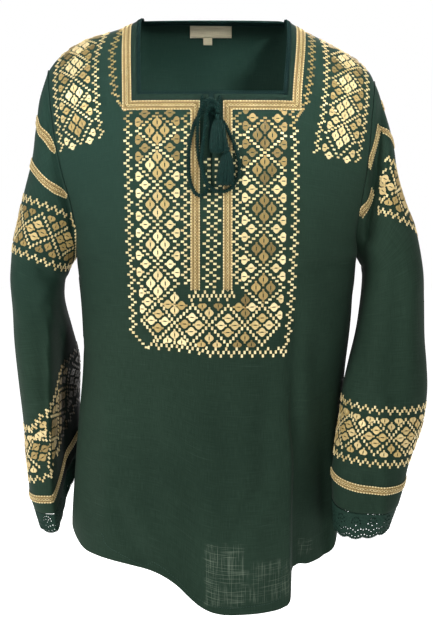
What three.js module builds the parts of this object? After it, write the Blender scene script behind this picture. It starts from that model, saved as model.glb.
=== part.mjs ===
// Peasant blouse, filled out as on a general figure, with nobody in it: a slit square neck, dropped
// shoulders, long wide sleeves, gold braid, crochet and lace edges and a tied pair of twisted cords.
// Millimetres, +Z up, front towards -Y, left and right as seen from the front.
// The origin lies between the shoulders at the height of the neck, where the wearer holds the blouse.
import * as THREE from 'three';

// Driving dimensions
const clothWall = 1.4;        // woven cloth, measured inwards from the outer face
const seamGap = 0.4;          // between two pieces that are sewn together
const trimLift = 0.35;        // between a panel and what is sewn on it
const armpitHeight = -283;
const seamHeight = 3;         // shoulder seam beside the neck
const slitEnd = -202;
const neckEdgeHeight = -91;   // front edge of the square neck
const placketEnd = -313;      // foot of the braids beside the slit
const napeRise = 12;          // how much higher the back neck stands than the shoulder seams
const crochetWidth = 5;
const braidWidth = 10.5;
const braidInset = 7.5;       // plain cloth between the neck edge and the braid
const braidWall = 1.2;
const laceWall = 1.1;

// Torso below the armpits, a row for each height. left and right are the side seams' places.
const torsoRows = [
  { height: -283, left: -166, right: 174, front: 118, back: 110 },
  { height: -350, left: -160, right: 168, front: 117, back: 105 },
  { height: -410, left: -159, right: 161, front: 113, back: 101 },
  { height: -470, left: -164, right: 156, front: 112, back: 101 },
  { height: -530, left: -169, right: 154, front: 114, back: 105 },
  { height: -600, left: -173, right: 153, front: 118, back: 111 },
  { height: -710, left: -172, right: 151, front: 121, back: 117 },
];
const torsoSquareness = 2.5;
const torsoRoundness = 0.43;

// Armholes: a row for each share of the way from the armpit up to the shoulder tip.
const armholeRows = [
  { share: 0.00, left: -166, right: 174 },
  { share: 0.15, left: -163, right: 170 },
  { share: 0.30, left: -168, right: 174 },
  { share: 0.45, left: -177, right: 179 },
  { share: 0.60, left: -184, right: 183 },
  { share: 0.80, left: -191, right: 187 },
  { share: 1.00, left: -197, right: 193 },
];
const armholeFront = 60;      // how far its front and back edges stand off the side
const armholeBack = 64;

// Shoulder seams from the neck out to the tip: height by distance from the middle.
const shoulderLeft = [
  { across: 85, height: 3 }, { across: 101, height: -6 }, { across: 125, height: -14 },
  { across: 150, height: -22 }, { across: 174, height: -35 }, { across: 188, height: -47 },
  { across: 198, height: -60 },
];
const shoulderRight = [
  { across: 85, height: 3 }, { across: 101, height: -8 }, { across: 125, height: -20 },
  { across: 150, height: -33 }, { across: 175, height: -49 }, { across: 188, height: -62 },
  { across: 195, height: -76 },
];

// Hems: height by distance across. The front tail is lowest a little right of the middle, and its
// right part hangs back behind one long fold.
const frontHem = [
  { across: -174, height: -606 }, { across: -157, height: -625 }, { across: -143, height: -630 },
  { across: -98, height: -637 }, { across: -73, height: -642 }, { across: -56, height: -649 },
  { across: -41, height: -660 }, { across: -27, height: -674 }, { across: -15, height: -684 },
  { across: 0, height: -691 }, { across: 20, height: -694 }, { across: 66, height: -692 },
  { across: 84, height: -688 }, { across: 92, height: -679 }, { across: 94.5, height: -651 },
  { across: 115, height: -648 }, { across: 133, height: -643 }, { across: 146, height: -632 },
  { across: 154, height: -606 },
];
const backHem = [
  { across: -174, height: -606 }, { across: -160, height: -624 }, { across: -120, height: -640 },
  { across: -60, height: -664 }, { across: 0, height: -684 }, { across: 60, height: -672 },
  { across: 110, height: -650 }, { across: 146, height: -630 }, { across: 154, height: -606 },
];

// Long folds of the body: cloth beyond `across` stands back by `depth` at the hem, from `top` down.
const hemFold = { across: 93, softness: 5, until: 132, top: -400, foot: -650, depth: 30 };

// Sleeves: a row for each ring. outer and inner are its two sides seen from the front, middle its
// place front to back, front and back its reach from there, rise lifts its front face, and tuck says
// how much of the ring's drop from its outer to its inner side happens in one deep fold.
const ringColumns = ['outerX', 'outerZ', 'innerX', 'innerZ', 'middle', 'front', 'back', 'rise', 'tuck'];
const ringTable = (rows) => rows.map(
  (row) => Object.fromEntries(row.map((value, i) => [ringColumns[i], value])));
const leftRings = ringTable([
  [-208, -92, -170, -287, 2, 61, 64, 0, 0],
  [-212, -128, -172, -290, 2, 61, 63, 0, 0],
  [-217, -162, -174, -293, 1, 61, 62, 0, 0],
  [-225, -198, -175, -297, 0, 60, 60, 0, 0],
  [-234, -234, -177, -303, -2, 59, 58, 0, 0],
  [-243, -270, -181, -312, -4, 57, 56, 0, 0],
  [-245, -308, -182, -332, -5, 54, 54, 0, 0.1],
  [-243, -348, -180, -352, -5, 51, 53, 0, 0.4],
  [-241, -386, -176, -372, -4, 48, 53, 0, 0.7],
  [-238, -424, -171, -392, -2, 46, 54, 0, 0.85],
  [-234, -462, -168, -411, 0, 45, 54, 0, 0.95],
  [-231, -497, -168, -430, 1, 44, 54, 0, 1],
  [-228, -548, -168, -478, 2, 42, 53, 0, 1],
  [-226, -574, -168, -503, 2, 41, 52, 0, 1],
  [-221, -590, -168, -522, 2, 40, 50, -2, 1],
  [-215, -606, -169, -547, 2, 38, 47, -10, 1],
]);
const rightRings = ringTable([
  [203, -98, 177, -287, 2, 60, 63, 0, 0],
  [216, -147, 179, -291, 0, 60, 62, 0, 0],
  [220, -176, 181, -295, -3, 60, 61, 0, 0],
  [230, -212, 181, -300, -6, 60, 60, 0, 0],
  [243, -248, 181, -308, -10, 59, 58, 0, 0],
  [251, -290, 179, -325, -15, 58, 56, 0, 0],
  [252, -330, 175, -348, -22, 56, 54, 0, 0],
  [252, -372, 169, -378, -31, 53, 52, 0, 0],
  [255, -408, 161, -408, -41, 50, 50, 0, 0],
  [255, -438, 154, -436, -50, 47, 47, -2, 0],
  [250, -468, 151, -463, -56, 44, 45, -5, 0],
  [240, -498, 146, -491, -62, 42, 44, -8, 0],
  [231, -525, 142, -518, -67, 39, 43, -10, 0],
  [227, -541, 140, -533, -69, 38, 42, -11, 0],
  [219, -568, 141, -566, -72, 37, 41, -9, 0],
  [210, -592, 143, -598, -73, 34, 38, -11, 0],
]);
const sleeveRoundness = 0.85;
const tuckFold = { highAngle: 2.6, lowAngle: 1.8, softness: 0.2, recess: 50 };

// Deep creases on the front faces: soft grooves pressed in from one place to another.
const sleeveCreases = {
  left: [
    { fromX: -192, fromZ: -92, toX: -166, toZ: -250, width: 7, depth: 7 },
    { fromX: -183, fromZ: -318, toX: -205, toZ: -290, width: 8, depth: 6 },
  ],
  right: [
    { fromX: 196, fromZ: -88, toX: 177, toZ: -255, width: 7, depth: 15 },
    { fromX: 199, fromZ: -440, toX: 199, toZ: -600, width: 9, depth: -5 },
  ],
};

// Braids on the sleeves run round from the front armhole seam to the rear one, or all round: their
// middles' height by distance across.
const sleeveBraids = {
  left: [
    { name: 'upper', route: [
      { across: -218, height: -128 }, { across: -184, height: -150 }, { across: -160, height: -172 },
    ] },
    { name: 'middle', route: [
      { across: -224, height: -158 }, { across: -175, height: -197 }, { across: -155, height: -222 },
    ] },
  ],
  right: [
    { name: 'upper', route: [
      { across: 205, height: -96 }, { across: 193, height: -112 }, { across: 185, height: -150 },
      { across: 172, height: -190 },
    ] },
    { name: 'middle', route: [
      { across: 218, height: -153 }, { across: 195, height: -138 }, { across: 186, height: -196 },
      { across: 168, height: -232 },
    ] },
  ],
};
const cuffBraidRing = 14;
const clothEnd = 15;          // the ring at which the cloth ends and the lace begins
const braidStart = 0.8;       // a braid nearer than this to the armhole has run into its seam
const leastStep = 0.18;       // between two rings of the grid
const plainRings = { left: [4, 5, 6, 7, 8.3, 9.6], right: [3, 4, 5, 6, 7, 8, 9, 10] };
const forearmRing = 7;        // where each sleeve's cloth is parted in two, so that its hollow stays open
const seamRings = 6;          // grid lines above the plain rings: the seam, one more and two for each braid
const aboveCuffRings = [11, 12, 13];
const cuffBraidWidth = 9;
const laceRings = [clothEnd + 0.03, clothEnd + 0.5, clothEnd + 1];
const sleeveTrimLift = 0.95;

// Tie cords: across, height, and how far each point stands off the front.
const cordThickness = 2.8;
const cordSides = 8;
const leftCordRoute = [
  [-12, -94, 2.2], [-12, -100, 2.6], [-9, -107, 3.4], [-3, -112, 3.6], [4, -116, 3.6], [12, -124, 3.6],
  [19, -137, 4.2], [26, -154, 4.4], [29.5, -170, 4.2], [28, -186, 3.8], [20, -198, 3.6], [9, -202, 3.8],
  [-2, -198, 5.8], [-9, -188, 7.6], [-12.5, -174, 8], [-12.5, -158, 8], [-10, -142, 8],
  [-8.6, -127, 8.6], [-7.2, -115, 10], [-2.6, -107.5, 11.4], [3.4, -108.6, 11.4], [5.4, -115.4, 11.2],
];
const rightCordRoute = [
  [8, -94, 2.2], [7.4, -101, 3.4], [3, -107, 6], [-4, -110.5, 7], [-12, -114, 6.6], [-19, -122, 5],
  [-24, -137, 4], [-27, -155, 3.8], [-27.5, -175, 3.8], [-25, -193, 3.8], [-19.5, -204, 3.8],
  [-11.5, -206, 3.6], [-6.6, -198, 3.4], [-9, -186, 3.2], [-14, -172, 3.8], [-17, -156, 4.2],
  [-17.4, -140, 4.6], [-17, -126, 8.6], [-14, -112, 12], [-7, -102.5, 13.6], [1.5, -103, 13],
  [6.6, -110, 9],
  [6, -119, 6.4], [5.4, -129, 5.3], [8, -139, 5], [12.4, -146, 6], [15.6, -151.5, 8.4],
];
const tassels = [
  { side: 'left', across: 5.4, top: -117, bottom: -159, halfWidth: 9, halfDepth: 3.8, standOff: 11.2 },
  { side: 'right', across: 16.2, top: -152, bottom: -195, halfWidth: 7, halfDepth: 3.6, standOff: 9.6 },
];
const tasselSides = 12;
// a tassel from its foot to its head: reach as a part of its half width, height as a part of its length
const tasselProfile = [
  { reach: 0, height: -1 }, { reach: 0.8, height: -1 }, { reach: 1, height: -0.82 },
  { reach: 0.72, height: -0.35 }, { reach: 0.3, height: -0.16 }, { reach: 0.42, height: -0.08 },
  { reach: 0.3, height: 0 }, { reach: 0, height: 0 },
];

// Woven labels inside the back neck
const label = { across: -3, width: 52 };
const sizeTab = { across: -7, width: 11 };
const labelWall = 1;

const clothColour = 0x2c4236;
const laceColour = 0x1f332b;
const goldColour = 0xc8a55f;
const cordColour = 0x163c34;
const labelColour = 0xc9bd93;

// Small sums

const mix = (from, to, share) => from + (to - from) * share;
const clamp = (value, low, high) => Math.min(high, Math.max(low, value));

function ease(from, to, value) {
  const share = clamp((value - from) / (to - from), 0, 1);
  return share * share * (3 - 2 * share);
}

// A smooth reading of one column of a table between its rows.
function read(rows, key, column, at) {
  const up = rows[rows.length - 1][key] > rows[0][key] ? 1 : -1;
  let last = rows.findIndex((row) => up * row[key] >= up * at);
  if (last === 0) return rows[0][column];
  if (last < 0) return rows[rows.length - 1][column];
  const slope = (i) => {
    const before = rows[Math.max(0, i - 1)];
    const after = rows[Math.min(rows.length - 1, i + 1)];
    return (after[column] - before[column]) / (after[key] - before[key]);
  };
  const a = rows[last - 1];
  const b = rows[last];
  const width = b[key] - a[key];
  const t = (at - a[key]) / width;
  const [startSlope, endSlope] = [slope(last - 1) * width, slope(last) * width];
  return a[column] * (1 + 2 * t) * (1 - t) ** 2 + startSlope * t * (1 - t) ** 2
    + b[column] * t * t * (3 - 2 * t) + endSlope * t * t * (t - 1);
}

// Named columns of the panels, as places across at the foot (low) and at the shoulder seam (high)
const neckEdge = { left: { low: -86, high: -89 }, right: { low: 83.5, high: 91 } };
const inFrom = (edge, distance) => ({ low: edge.low + distance, high: edge.high + distance });
const crochetInner = {
  left: inFrom(neckEdge.left, crochetWidth),
  right: inFrom(neckEdge.right, -crochetWidth),
};
const braidInner = { left: inFrom(neckEdge.left, -braidInset), right: inFrom(neckEdge.right, braidInset) };
const braidOuter = {
  left: inFrom(braidInner.left, -braidWidth),
  right: inFrom(braidInner.right, braidWidth),
};
const at = (place) => ({ low: place, high: place });
const hemFoldLine = { low: 94.5, high: 103 };
const slitMiddle = -2;
const slitHalfWidth = 0.4;
const slitSpread = 2;         // how much further each edge of the slit stands away at the neck
const slit = {
  left: { ...at(slitMiddle - slitHalfWidth), spread: -slitSpread },
  right: { ...at(slitMiddle + slitHalfWidth), spread: slitSpread },
};
const placketEdge = { left: -25.5, right: 11.5 };
const placket = {
  left: [at(placketEdge.left), at(placketEdge.left + braidWidth)],
  right: [at(placketEdge.right), at(placketEdge.right + braidWidth)],
};

// Panels: `share` runs from -1 at the hem through 0 at the armpits to 1 at the shoulder seam, and a
// column says where it crosses the panel, as a place or as a part of the way out to the side.

const shareAt = (height) => (height - armpitHeight) / (seamHeight - armpitHeight);

function shoulderHeight(across) {
  return read(across < 0 ? shoulderLeft : shoulderRight, 'across', 'height', Math.abs(across));
}

function sideAt(side, share) {
  if (share >= 0) return read(armholeRows, 'share', side, share);
  const hemEnd = frontHem[0].height;
  return read(torsoRows, 'height', side, mix(armpitHeight, hemEnd, -share));
}

function acrossOf(column, share) {
  const upper = ease(0.6, 1, share);
  const opened = (column.spread ?? 0) * ease(shareAt(slitEnd), shareAt(neckEdgeHeight), share);
  if (!column.side) return mix(column.low, column.high, upper) + opened;
  const inner = mix(column.from.low, column.from.high, upper);
  return mix(inner, sideAt(column.side, share), Math.sin(column.part * Math.PI / 2));
}

function panelPoint(isFront, column, share) {
  const across = acrossOf(column, share);
  const squareness = torsoSquareness;
  if (share < 0) {
    const hemHeight = read(isFront ? frontHem : backHem, 'across', 'height', across);
    const height = mix(armpitHeight, hemHeight, -share);
    const [left, right, front, back] = ['left', 'right', 'front', 'back'].map(
      (name) => read(torsoRows, 'height', name, height));
    const reach = clamp(Math.abs(2 * across - left - right) / (right - left), 0, 1);
    const bulge = (1 - reach ** squareness) ** torsoRoundness;
    if (!isFront) return new THREE.Vector3(across, back * bulge, height);
    const halfSoftness = hemFold.softness / 2;
    const fold = hemFold.depth * ease(hemFold.top, hemFold.foot, height)
      * (1 - ease(hemFold.until, right - 2, across))
      * ease(hemFold.across - halfSoftness, hemFold.across + halfSoftness, across);
    return new THREE.Vector3(across, fold - front * bulge, height);
  }
  const [left, right] = [sideAt('left', share), sideAt('right', share)];
  const reach = clamp(Math.abs(2 * across - left - right) / (right - left), 0, 1);
  const bulge = (1 - reach ** squareness) ** mix(torsoRoundness, 0.8, ease(0, 0.4, share));
  const top = shoulderHeight(acrossOf(column, 1));
  const edge = Math.sqrt(Math.max(0, 1 - (2 * share - 1) ** 2));
  if (isFront) {
    const middle = torsoRows[0].front * Math.sqrt(Math.max(0, 1 - share ** 3.2));
    const edgeDepth = armholeFront * edge;
    return new THREE.Vector3(across, -mix(edgeDepth, middle, bulge), mix(armpitHeight, top, share));
  }
  const middle = torsoRows[0].back * Math.sqrt(Math.max(0, 1 - share ** 11));
  const rise = napeRise * Math.sin(Math.PI * share ** 20) * bulge;
  const y = mix(armholeBack * edge, middle, bulge);
  return new THREE.Vector3(across, y, mix(armpitHeight, top, share) + rise);
}

// The outward normal: named columns are stepped across in millimetres, side columns by their part.
function faceNormal(isFront, column, share) {
  const [place, stepAcross] = column.side ? [column.part, 0.1] : [acrossOf(column, share), 0.5];
  const moved = (part) => (column.side ? { ...column, part: clamp(part, 0, 1) } : at(part));
  const from = panelPoint(isFront, moved(place - stepAcross), share);
  const across = panelPoint(isFront, moved(place + stepAcross), share).sub(from);
  const stepUp = 1e-3;
  const below = panelPoint(isFront, column, share - stepUp);
  const up = panelPoint(isFront, column, Math.min(1, share + stepUp)).sub(below);
  const turned = (column.side === 'left') !== !isFront;
  return across.cross(up).normalize().multiplyScalar(turned ? -1 : 1);
}

// Both panels share their normals along the shoulder and side seams, and with the sleeve at the armhole.
function panelNormal(isFront, column, share) {
  const isSide = column.part === 1;
  if (isSide && share >= 0) return armholeNormal(column.side, armholeAngle(share, isFront));
  const normal = faceNormal(isFront, column, share);
  if (isSide || share === 1) return normal.add(faceNormal(!isFront, column, share)).normalize();
  return normal;
}

// One closed solid from the kept cells of a grid of points: its outer face stands off the points by
// `outer` and its inner face by `inner`, both along the normals.
function solidFromCells({ points, normals, inner, outer, keep = () => true, looped = false }) {
  const rowCount = points.length;
  const columnCount = points[0].length;
  const lastColumn = looped ? columnCount : columnCount - 1;
  const positions = [];
  const indices = [];
  const known = new Map();
  const vertex = (row, column, isOuter) => {
    const place = column % columnCount;
    const name = `${row},${place},${isOuter}`;
    if (!known.has(name)) {
      known.set(name, positions.length / 3);
      const at = points[row][place].clone().addScaledVector(normals[row][place], isOuter ? outer : inner);
      positions.push(at.x, at.y, at.z);
    }
    return known.get(name);
  };
  const isKept = (row, column) => {
    if (row < 0 || row >= rowCount - 1) return false;
    if (!looped && (column < 0 || column >= lastColumn)) return false;
    return keep((column + columnCount) % columnCount, row);
  };
  const quad = (a, b, c, d) => indices.push(a, b, c, a, c, d);
  for (let row = 0; row < rowCount - 1; row++) {
    for (let column = 0; column < lastColumn; column++) {
      if (!isKept(row, column)) continue;
      const corners = [[row, column], [row, column + 1], [row + 1, column + 1], [row + 1, column]];
      const [a, b, c, d] = corners.map(([r, c2]) => vertex(r, c2, true));
      const [e, f, g, h] = corners.map(([r, c2]) => vertex(r, c2, false));
      quad(a, b, c, d);
      quad(h, g, f, e);
      if (!isKept(row - 1, column)) quad(a, e, f, b);
      if (!isKept(row, column + 1)) quad(b, f, g, c);
      if (!isKept(row + 1, column)) quad(c, g, h, d);
      if (!isKept(row, column - 1)) quad(d, h, e, a);
    }
  }
  const geometry = new THREE.BufferGeometry();
  geometry.setAttribute('position', new THREE.Float32BufferAttribute(positions, 3));
  geometry.setIndex(enclosedVolume(positions, indices) < 0 ? indices.reverse() : indices);
  geometry.computeVertexNormals();
  return geometry;
}

function enclosedVolume(positions, indices) {
  const corner = (i) => new THREE.Vector3().fromArray(positions, 3 * i);
  let volume = 0;
  for (let i = 0; i < indices.length; i += 3) {
    volume += corner(indices[i]).dot(corner(indices[i + 1]).cross(corner(indices[i + 2]))) / 6;
  }
  return volume;
}

// Sleeves: `ring` counts down the sleeve from 0 at the armhole, and `angle` goes round from its outer
// side (0) over the front to its inner side (pi) and back along its rear (below 0).

const rings = { left: leftRings, right: rightRings };

function armholeAngle(share, isFront) {
  return Math.acos(2 * share - 1) * (isFront ? 1 : -1);
}

function armholeColumn(side) {
  return { side, part: 1, from: braidOuter[side] };
}

function armholePoint(side, angle) {
  return panelPoint(angle >= 0, armholeColumn(side), (1 + Math.cos(angle)) / 2);
}

function ringPoint({ outerX, outerZ, innerX, innerZ, middle, front, back, rise, tuck }, angle) {
  const rounded = (value) => Math.sign(value) * Math.abs(value) ** sleeveRoundness;
  const isFront = angle >= 0;
  const inward = (1 - rounded(Math.cos(angle))) / 2;
  const edge = mix(tuckFold.highAngle, tuckFold.lowAngle, tuck ** 1.5);
  const folded = ease(edge - tuckFold.softness, edge + tuckFold.softness, angle);
  const edgeInward = (1 - rounded(Math.cos(edge))) / 2;
  const beyond = clamp((inward - edgeInward) / (1 - edgeInward), 0, 1);
  const drop = isFront ? mix(inward, folded * mix(0.5, 1, beyond), tuck) : inward;
  const forward = rounded(Math.sin(angle));
  const recess = tuckFold.recess * tuck * (isFront ? folded : inward ** 2);
  return new THREE.Vector3(
    mix(outerX, innerX, inward),
    middle - forward * (isFront ? front : back) + recess,
    mix(outerZ, innerZ, drop) + rise * Math.abs(Math.sin(angle)),
  );
}

// How far back the creases press a point of the sleeve's front
function creaseDepth(side, point, ring, angle) {
  if (angle <= 0) return 0;
  const share = Math.sin(angle) ** 0.5 * ease(0, 0.5, ring);
  return sleeveCreases[side].reduce((sum, { fromX, fromZ, toX, toZ, width, depth }) => {
    const [alongX, alongZ] = [toX - fromX, toZ - fromZ];
    const length = Math.hypot(alongX, alongZ);
    const along = ((point.x - fromX) * alongX + (point.z - fromZ) * alongZ) / length;
    const aside = ((point.x - fromX) * alongZ - (point.z - fromZ) * alongX) / length;
    const ends = ease(-width, 2 * width, along) * ease(length + width, length - 2 * width, along);
    return sum + share * depth * ends * Math.exp(-((aside / width) ** 2));
  }, 0);
}

function sleevePoint(side, ring, anyAngle) {
  const angle = Math.atan2(Math.sin(anyAngle), Math.cos(anyAngle));
  const last = rings[side].length;
  const station = (i) => (
    i <= 0 ? armholePoint(side, angle) : ringPoint(rings[side][Math.min(i, last) - 1], angle));
  const i = Math.min(Math.floor(ring), last - 1);
  const t = ring - i;
  const [before, a, b, after] = [station(i - 1), station(i), station(i + 1), station(i + 2)];
  const weights = [
    -t + 2 * t * t - t ** 3, 2 - 5 * t * t + 3 * t ** 3, t + 4 * t * t - 3 * t ** 3, t ** 3 - t * t,
  ];
  const smooth = [before, a, b, after].reduce(
    (sum, point, k) => sum.addScaledVector(point, weights[k] / 2), new THREE.Vector3());
  smooth.y += creaseDepth(side, smooth, ring, angle);
  return smooth;
}

function sleeveNormal(side, ring, angle) {
  const step = 0.04;
  const last = rings[side].length;
  const around = sleevePoint(side, ring, angle + step).sub(sleevePoint(side, ring, angle - step));
  const above = sleevePoint(side, Math.max(0, ring - step), angle);
  const down = sleevePoint(side, Math.min(last, ring + step), angle).sub(above);
  return around.cross(down).normalize().multiplyScalar(side === 'left' ? -1 : 1);
}

function armholeNormal(side, angle) {
  const panel = faceNormal(angle >= 0, armholeColumn(side), (1 + Math.cos(angle)) / 2);
  return panel.add(sleeveNormal(side, 0, angle)).normalize();
}

// Grid lines

const sideParts = [1, 0.75, 0.5, 0.25];
const sideColumns = (side) => sideParts.map((part) => ({ side, part, from: braidOuter[side] }));
// plain grid lines between the neck edges and the placket or the label
const plainLines = { frontLeft: at(-55), frontRight: at(52), backLeft: at(-58), backRight: at(55) };
const frontColumns = [
  ...sideColumns('left'), braidOuter.left, braidInner.left, neckEdge.left, plainLines.frontLeft,
  ...placket.left, slit.left, slit.right, ...placket.right, plainLines.frontRight, neckEdge.right,
  braidInner.right, hemFoldLine, braidOuter.right,
  ...sideColumns('right').reverse(),
];
const edgesOf = ({ across, width }) => [at(across - width / 2), at(across + width / 2)];
const labelColumns = edgesOf(label);
const tabColumns = edgesOf(sizeTab);
const backColumns = [
  ...sideColumns('left'), braidOuter.left, braidInner.left, neckEdge.left, plainLines.backLeft,
  labelColumns[0], ...tabColumns, labelColumns[1], plainLines.backRight, neckEdge.right, braidInner.right,
  braidOuter.right, ...sideColumns('right').reverse(),
];
const labelShares = { bottom: 0.921, top: 0.957 };
const tabShare = 0.9;
const backBraidShares = { bottom: 0.94, top: labelShares.top };
const backNeckShare = 0.968;
const armholeShares = [
  0, 0.045, 0.15, shareAt(slitEnd), 0.45, shareAt(neckEdgeHeight - braidInset - braidWidth),
  shareAt(neckEdgeHeight - braidInset), shareAt(neckEdgeHeight), 0.77, 0.85, tabShare, labelShares.bottom,
  backBraidShares.bottom, backBraidShares.top, backNeckShare, 1,
];
// the share at which the middle of the front reaches down to the foot of the placket
const placketShare = (armpitHeight - placketEnd) / (frontHem[9].height - armpitHeight);
const lowerShares = [-1, -0.9, -0.78, -0.65, -0.52, -0.39, -0.27, -0.16, placketShare];
const panelShares = [...lowerShares, ...armholeShares];

// Nodes of a panel's grid, with half the seam gap taken off along the shoulders and the sides
function panelGrid(isFront, columns, shares) {
  const forward = isFront ? -1 : 1;
  const points = shares.map((share) => columns.map((column) => {
    const point = panelPoint(isFront, column, share);
    const isSeam = share === 1 || (column.part === 1 && share <= 0);
    if (isSeam) point.y += forward * seamGap / 2;
    return point;
  }));
  const normals = shares.map((share) => columns.map((column) => panelNormal(isFront, column, share)));
  return { points, normals };
}

const isBetween = (value, low, high) => value >= low && value < high;

function panelSolids() {
  const front = panelGrid(true, frontColumns, panelShares);
  const back = panelGrid(false, backColumns, panelShares);
  const wall = { inner: -clothWall, outer: 0 };
  const braid = { inner: trimLift, outer: trimLift + braidWall };
  const row = (share) => panelShares.indexOf(share);
  const column = (columns, line) => columns.indexOf(line);
  const slitRow = row(shareAt(slitEnd));
  const neckRow = row(shareAt(neckEdgeHeight));
  const [neckLeft, neckRight] = [column(frontColumns, neckEdge.left), column(frontColumns, neckEdge.right)];
  const slitColumn = column(frontColumns, slit.left);
  const isNeck = (c, r) => r >= neckRow && isBetween(c, neckLeft, neckRight);
  const frontKept = (c, r) => !isNeck(c, r) && !(r >= slitRow && c === slitColumn);
  const backNeckRow = row(backNeckShare);
  const backNeck = [column(backColumns, neckEdge.left), column(backColumns, neckEdge.right)];
  const backKept = (c, r) => !(r >= backNeckRow && isBetween(c, ...backNeck));
  addPiece('front', solidFromCells({ ...front, ...wall, keep: frontKept }), clothColour);
  addPiece('back', solidFromCells({ ...back, ...wall, keep: backKept }), clothColour);

  const braidRow = row(shareAt(neckEdgeHeight - braidInset - braidWidth));
  const placketRow = row(placketShare);
  for (const side of ['left', 'right']) {
    const neckColumns = [braidOuter[side], braidInner[side]].map((line) => column(frontColumns, line));
    const placketColumns = placket[side].map((line) => column(frontColumns, line));
    const neckSpan = [Math.min(...neckColumns), Math.max(...neckColumns)];
    const alongNeck = side === 'left' ? [neckSpan[0], placketColumns[1]] : [placketColumns[0], neckSpan[1]];
    const keep = (c, r) => (r >= braidRow && isBetween(c, ...neckSpan))
      || (r === braidRow && isBetween(c, ...alongNeck))
      || (isBetween(r, placketRow, braidRow + 1) && isBetween(c, ...placketColumns));
    addPiece(`braid_front_${side}`, solidFromCells({ ...front, ...braid, keep }), goldColour);
  }
  const backLines = [braidOuter.left, braidInner.left, braidInner.right, braidOuter.right];
  const [outLeft, inLeft, inRight, outRight] = backLines.map((line) => column(backColumns, line));
  const backBraidRow = row(backBraidShares.bottom);
  const isDown = (c) => isBetween(c, outLeft, inLeft) || isBetween(c, inRight, outRight);
  const backBraidKept = (c, r) => (r >= backBraidRow && isDown(c))
    || (r === backBraidRow && isBetween(c, outLeft, outRight));
  addPiece('braid_back', solidFromCells({ ...back, ...braid, keep: backBraidKept }), goldColour);

  const labelKept = (c, r) => isBetween(r, row(labelShares.bottom), row(labelShares.top))
    && isBetween(c, ...labelColumns.map((line) => column(backColumns, line)));
  const labelFace = -clothWall - trimLift;
  const labelLayer = { inner: labelFace - labelWall, outer: labelFace };
  addPiece('label', solidFromCells({ ...back, ...labelLayer, keep: labelKept }), labelColour);
  const tabOf = (grid) => [tabShare, labelShares.bottom].map(
    (share) => tabColumns.map((line) => grid[row(share)][column(backColumns, line)].clone()));
  const tab = { points: tabOf(back.points), normals: tabOf(back.normals) };
  tab.points[1].forEach((point, i) => {
    point.addScaledVector(tab.points[0][i].clone().sub(point).normalize(), seamGap);
  });
  addPiece('size_tab', solidFromCells({ ...tab, ...labelLayer }), labelColour);
}

// Crochet edging, in line with the cloth and as thick, reaching from its cut edge into the opening
function crochetSolids() {
  const wall = { inner: -clothWall, outer: 0 };
  const cornerShares = [neckEdgeHeight + seamGap, neckEdgeHeight + crochetWidth].map(shareAt);
  const upShares = armholeShares.filter((share) => share > cornerShares[1] + 0.02);
  for (const side of ['left', 'right']) {
    const inwards = side === 'left' ? 1 : -1;
    const neckLine = inFrom(neckEdge[side], inwards * seamGap);
    const acrossLines = side === 'left'
      ? [plainLines.frontLeft, ...placket.left, slit.left]
      : [plainLines.frontRight, placket.right[1], placket.right[0], slit.right];
    const columns = [neckLine, crochetInner[side], ...acrossLines];
    const grid = panelGrid(true, columns, [...cornerShares, ...upShares]);
    const keep = (c, r) => c === 0 || r === 0;
    addPiece(`crochet_front_${side}`, solidFromCells({ ...grid, ...wall, keep }), laceColour);
  }
  const lines = [
    inFrom(neckEdge.left, seamGap), crochetInner.left, plainLines.backLeft, labelColumns[0], ...tabColumns,
    labelColumns[1], plainLines.backRight, crochetInner.right, inFrom(neckEdge.right, -seamGap),
  ];
  const grid = panelGrid(false, lines, [backNeckShare + 0.001, 0.976, 1]);
  const keep = (c, r) => r === 0 || c === 0 || c === lines.length - 2;
  addPiece('crochet_back', solidFromCells({ ...grid, ...wall, keep }), laceColour);
}

const sleeveAngles = [
  ...armholeShares.map((share) => armholeAngle(share, true)),
  ...armholeShares.slice(1, -1).reverse().map((share) => armholeAngle(share, false)),
];

// The ring that lies `distance` further down one line of the sleeve
function ringBelow(side, ring, angle, distance) {
  const step = 0.05;
  const above = sleevePoint(side, ring - step, angle);
  return ring + distance * 2 * step / sleevePoint(side, ring + step, angle).distanceTo(above);
}

// The ring at which a braid's route crosses one line down the sleeve, moved down by an offset, or 0
// where the route has run off the sleeve.
function ringOnRoute(side, route, angle, offset) {
  let [low, high] = [0, 6];
  for (let i = 0; i < 24; i++) {
    const middle = (low + high) / 2;
    const point = sleevePoint(side, middle, angle);
    if (point.z > read(route, 'across', 'height', point.x)) low = middle;
    else high = middle;
  }
  return low < braidStart ? 0 : ringBelow(side, low, angle, offset);
}

// Rings of the sleeve's grid down one angle. The first ones run along the braids' edges, and where a
// braid has ended at the seam they run on close below it, in order.
function sleeveRings(side, angle) {
  const lines = [0];
  for (const { route } of sleeveBraids[side]) {
    for (const edge of [-braidWidth / 2, braidWidth / 2]) {
      lines.push(Math.max(lines[lines.length - 1] + leastStep, ringOnRoute(side, route, angle, edge)));
    }
  }
  lines.splice(1, 0, lines[1] / 2);
  const cuffLines = [-cuffBraidWidth / 2, cuffBraidWidth / 2].map(
    (edge) => ringBelow(side, cuffBraidRing, angle, edge));
  return [...lines, ...plainRings[side], ...aboveCuffRings, ...cuffLines, clothEnd];
}

function sleeveGrid(side, ringsAt) {
  const columns = sleeveAngles.map((angle) => ringsAt(angle).map((ring) => ({
    point: sleevePoint(side, ring, angle),
    normal: ring === 0 ? armholeNormal(side, angle) : sleeveNormal(side, ring, angle),
  })));
  const rowsOf = (what) => columns[0].map((first, row) => columns.map((column) => column[row][what]));
  return { points: rowsOf('point'), normals: rowsOf('normal') };
}

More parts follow.
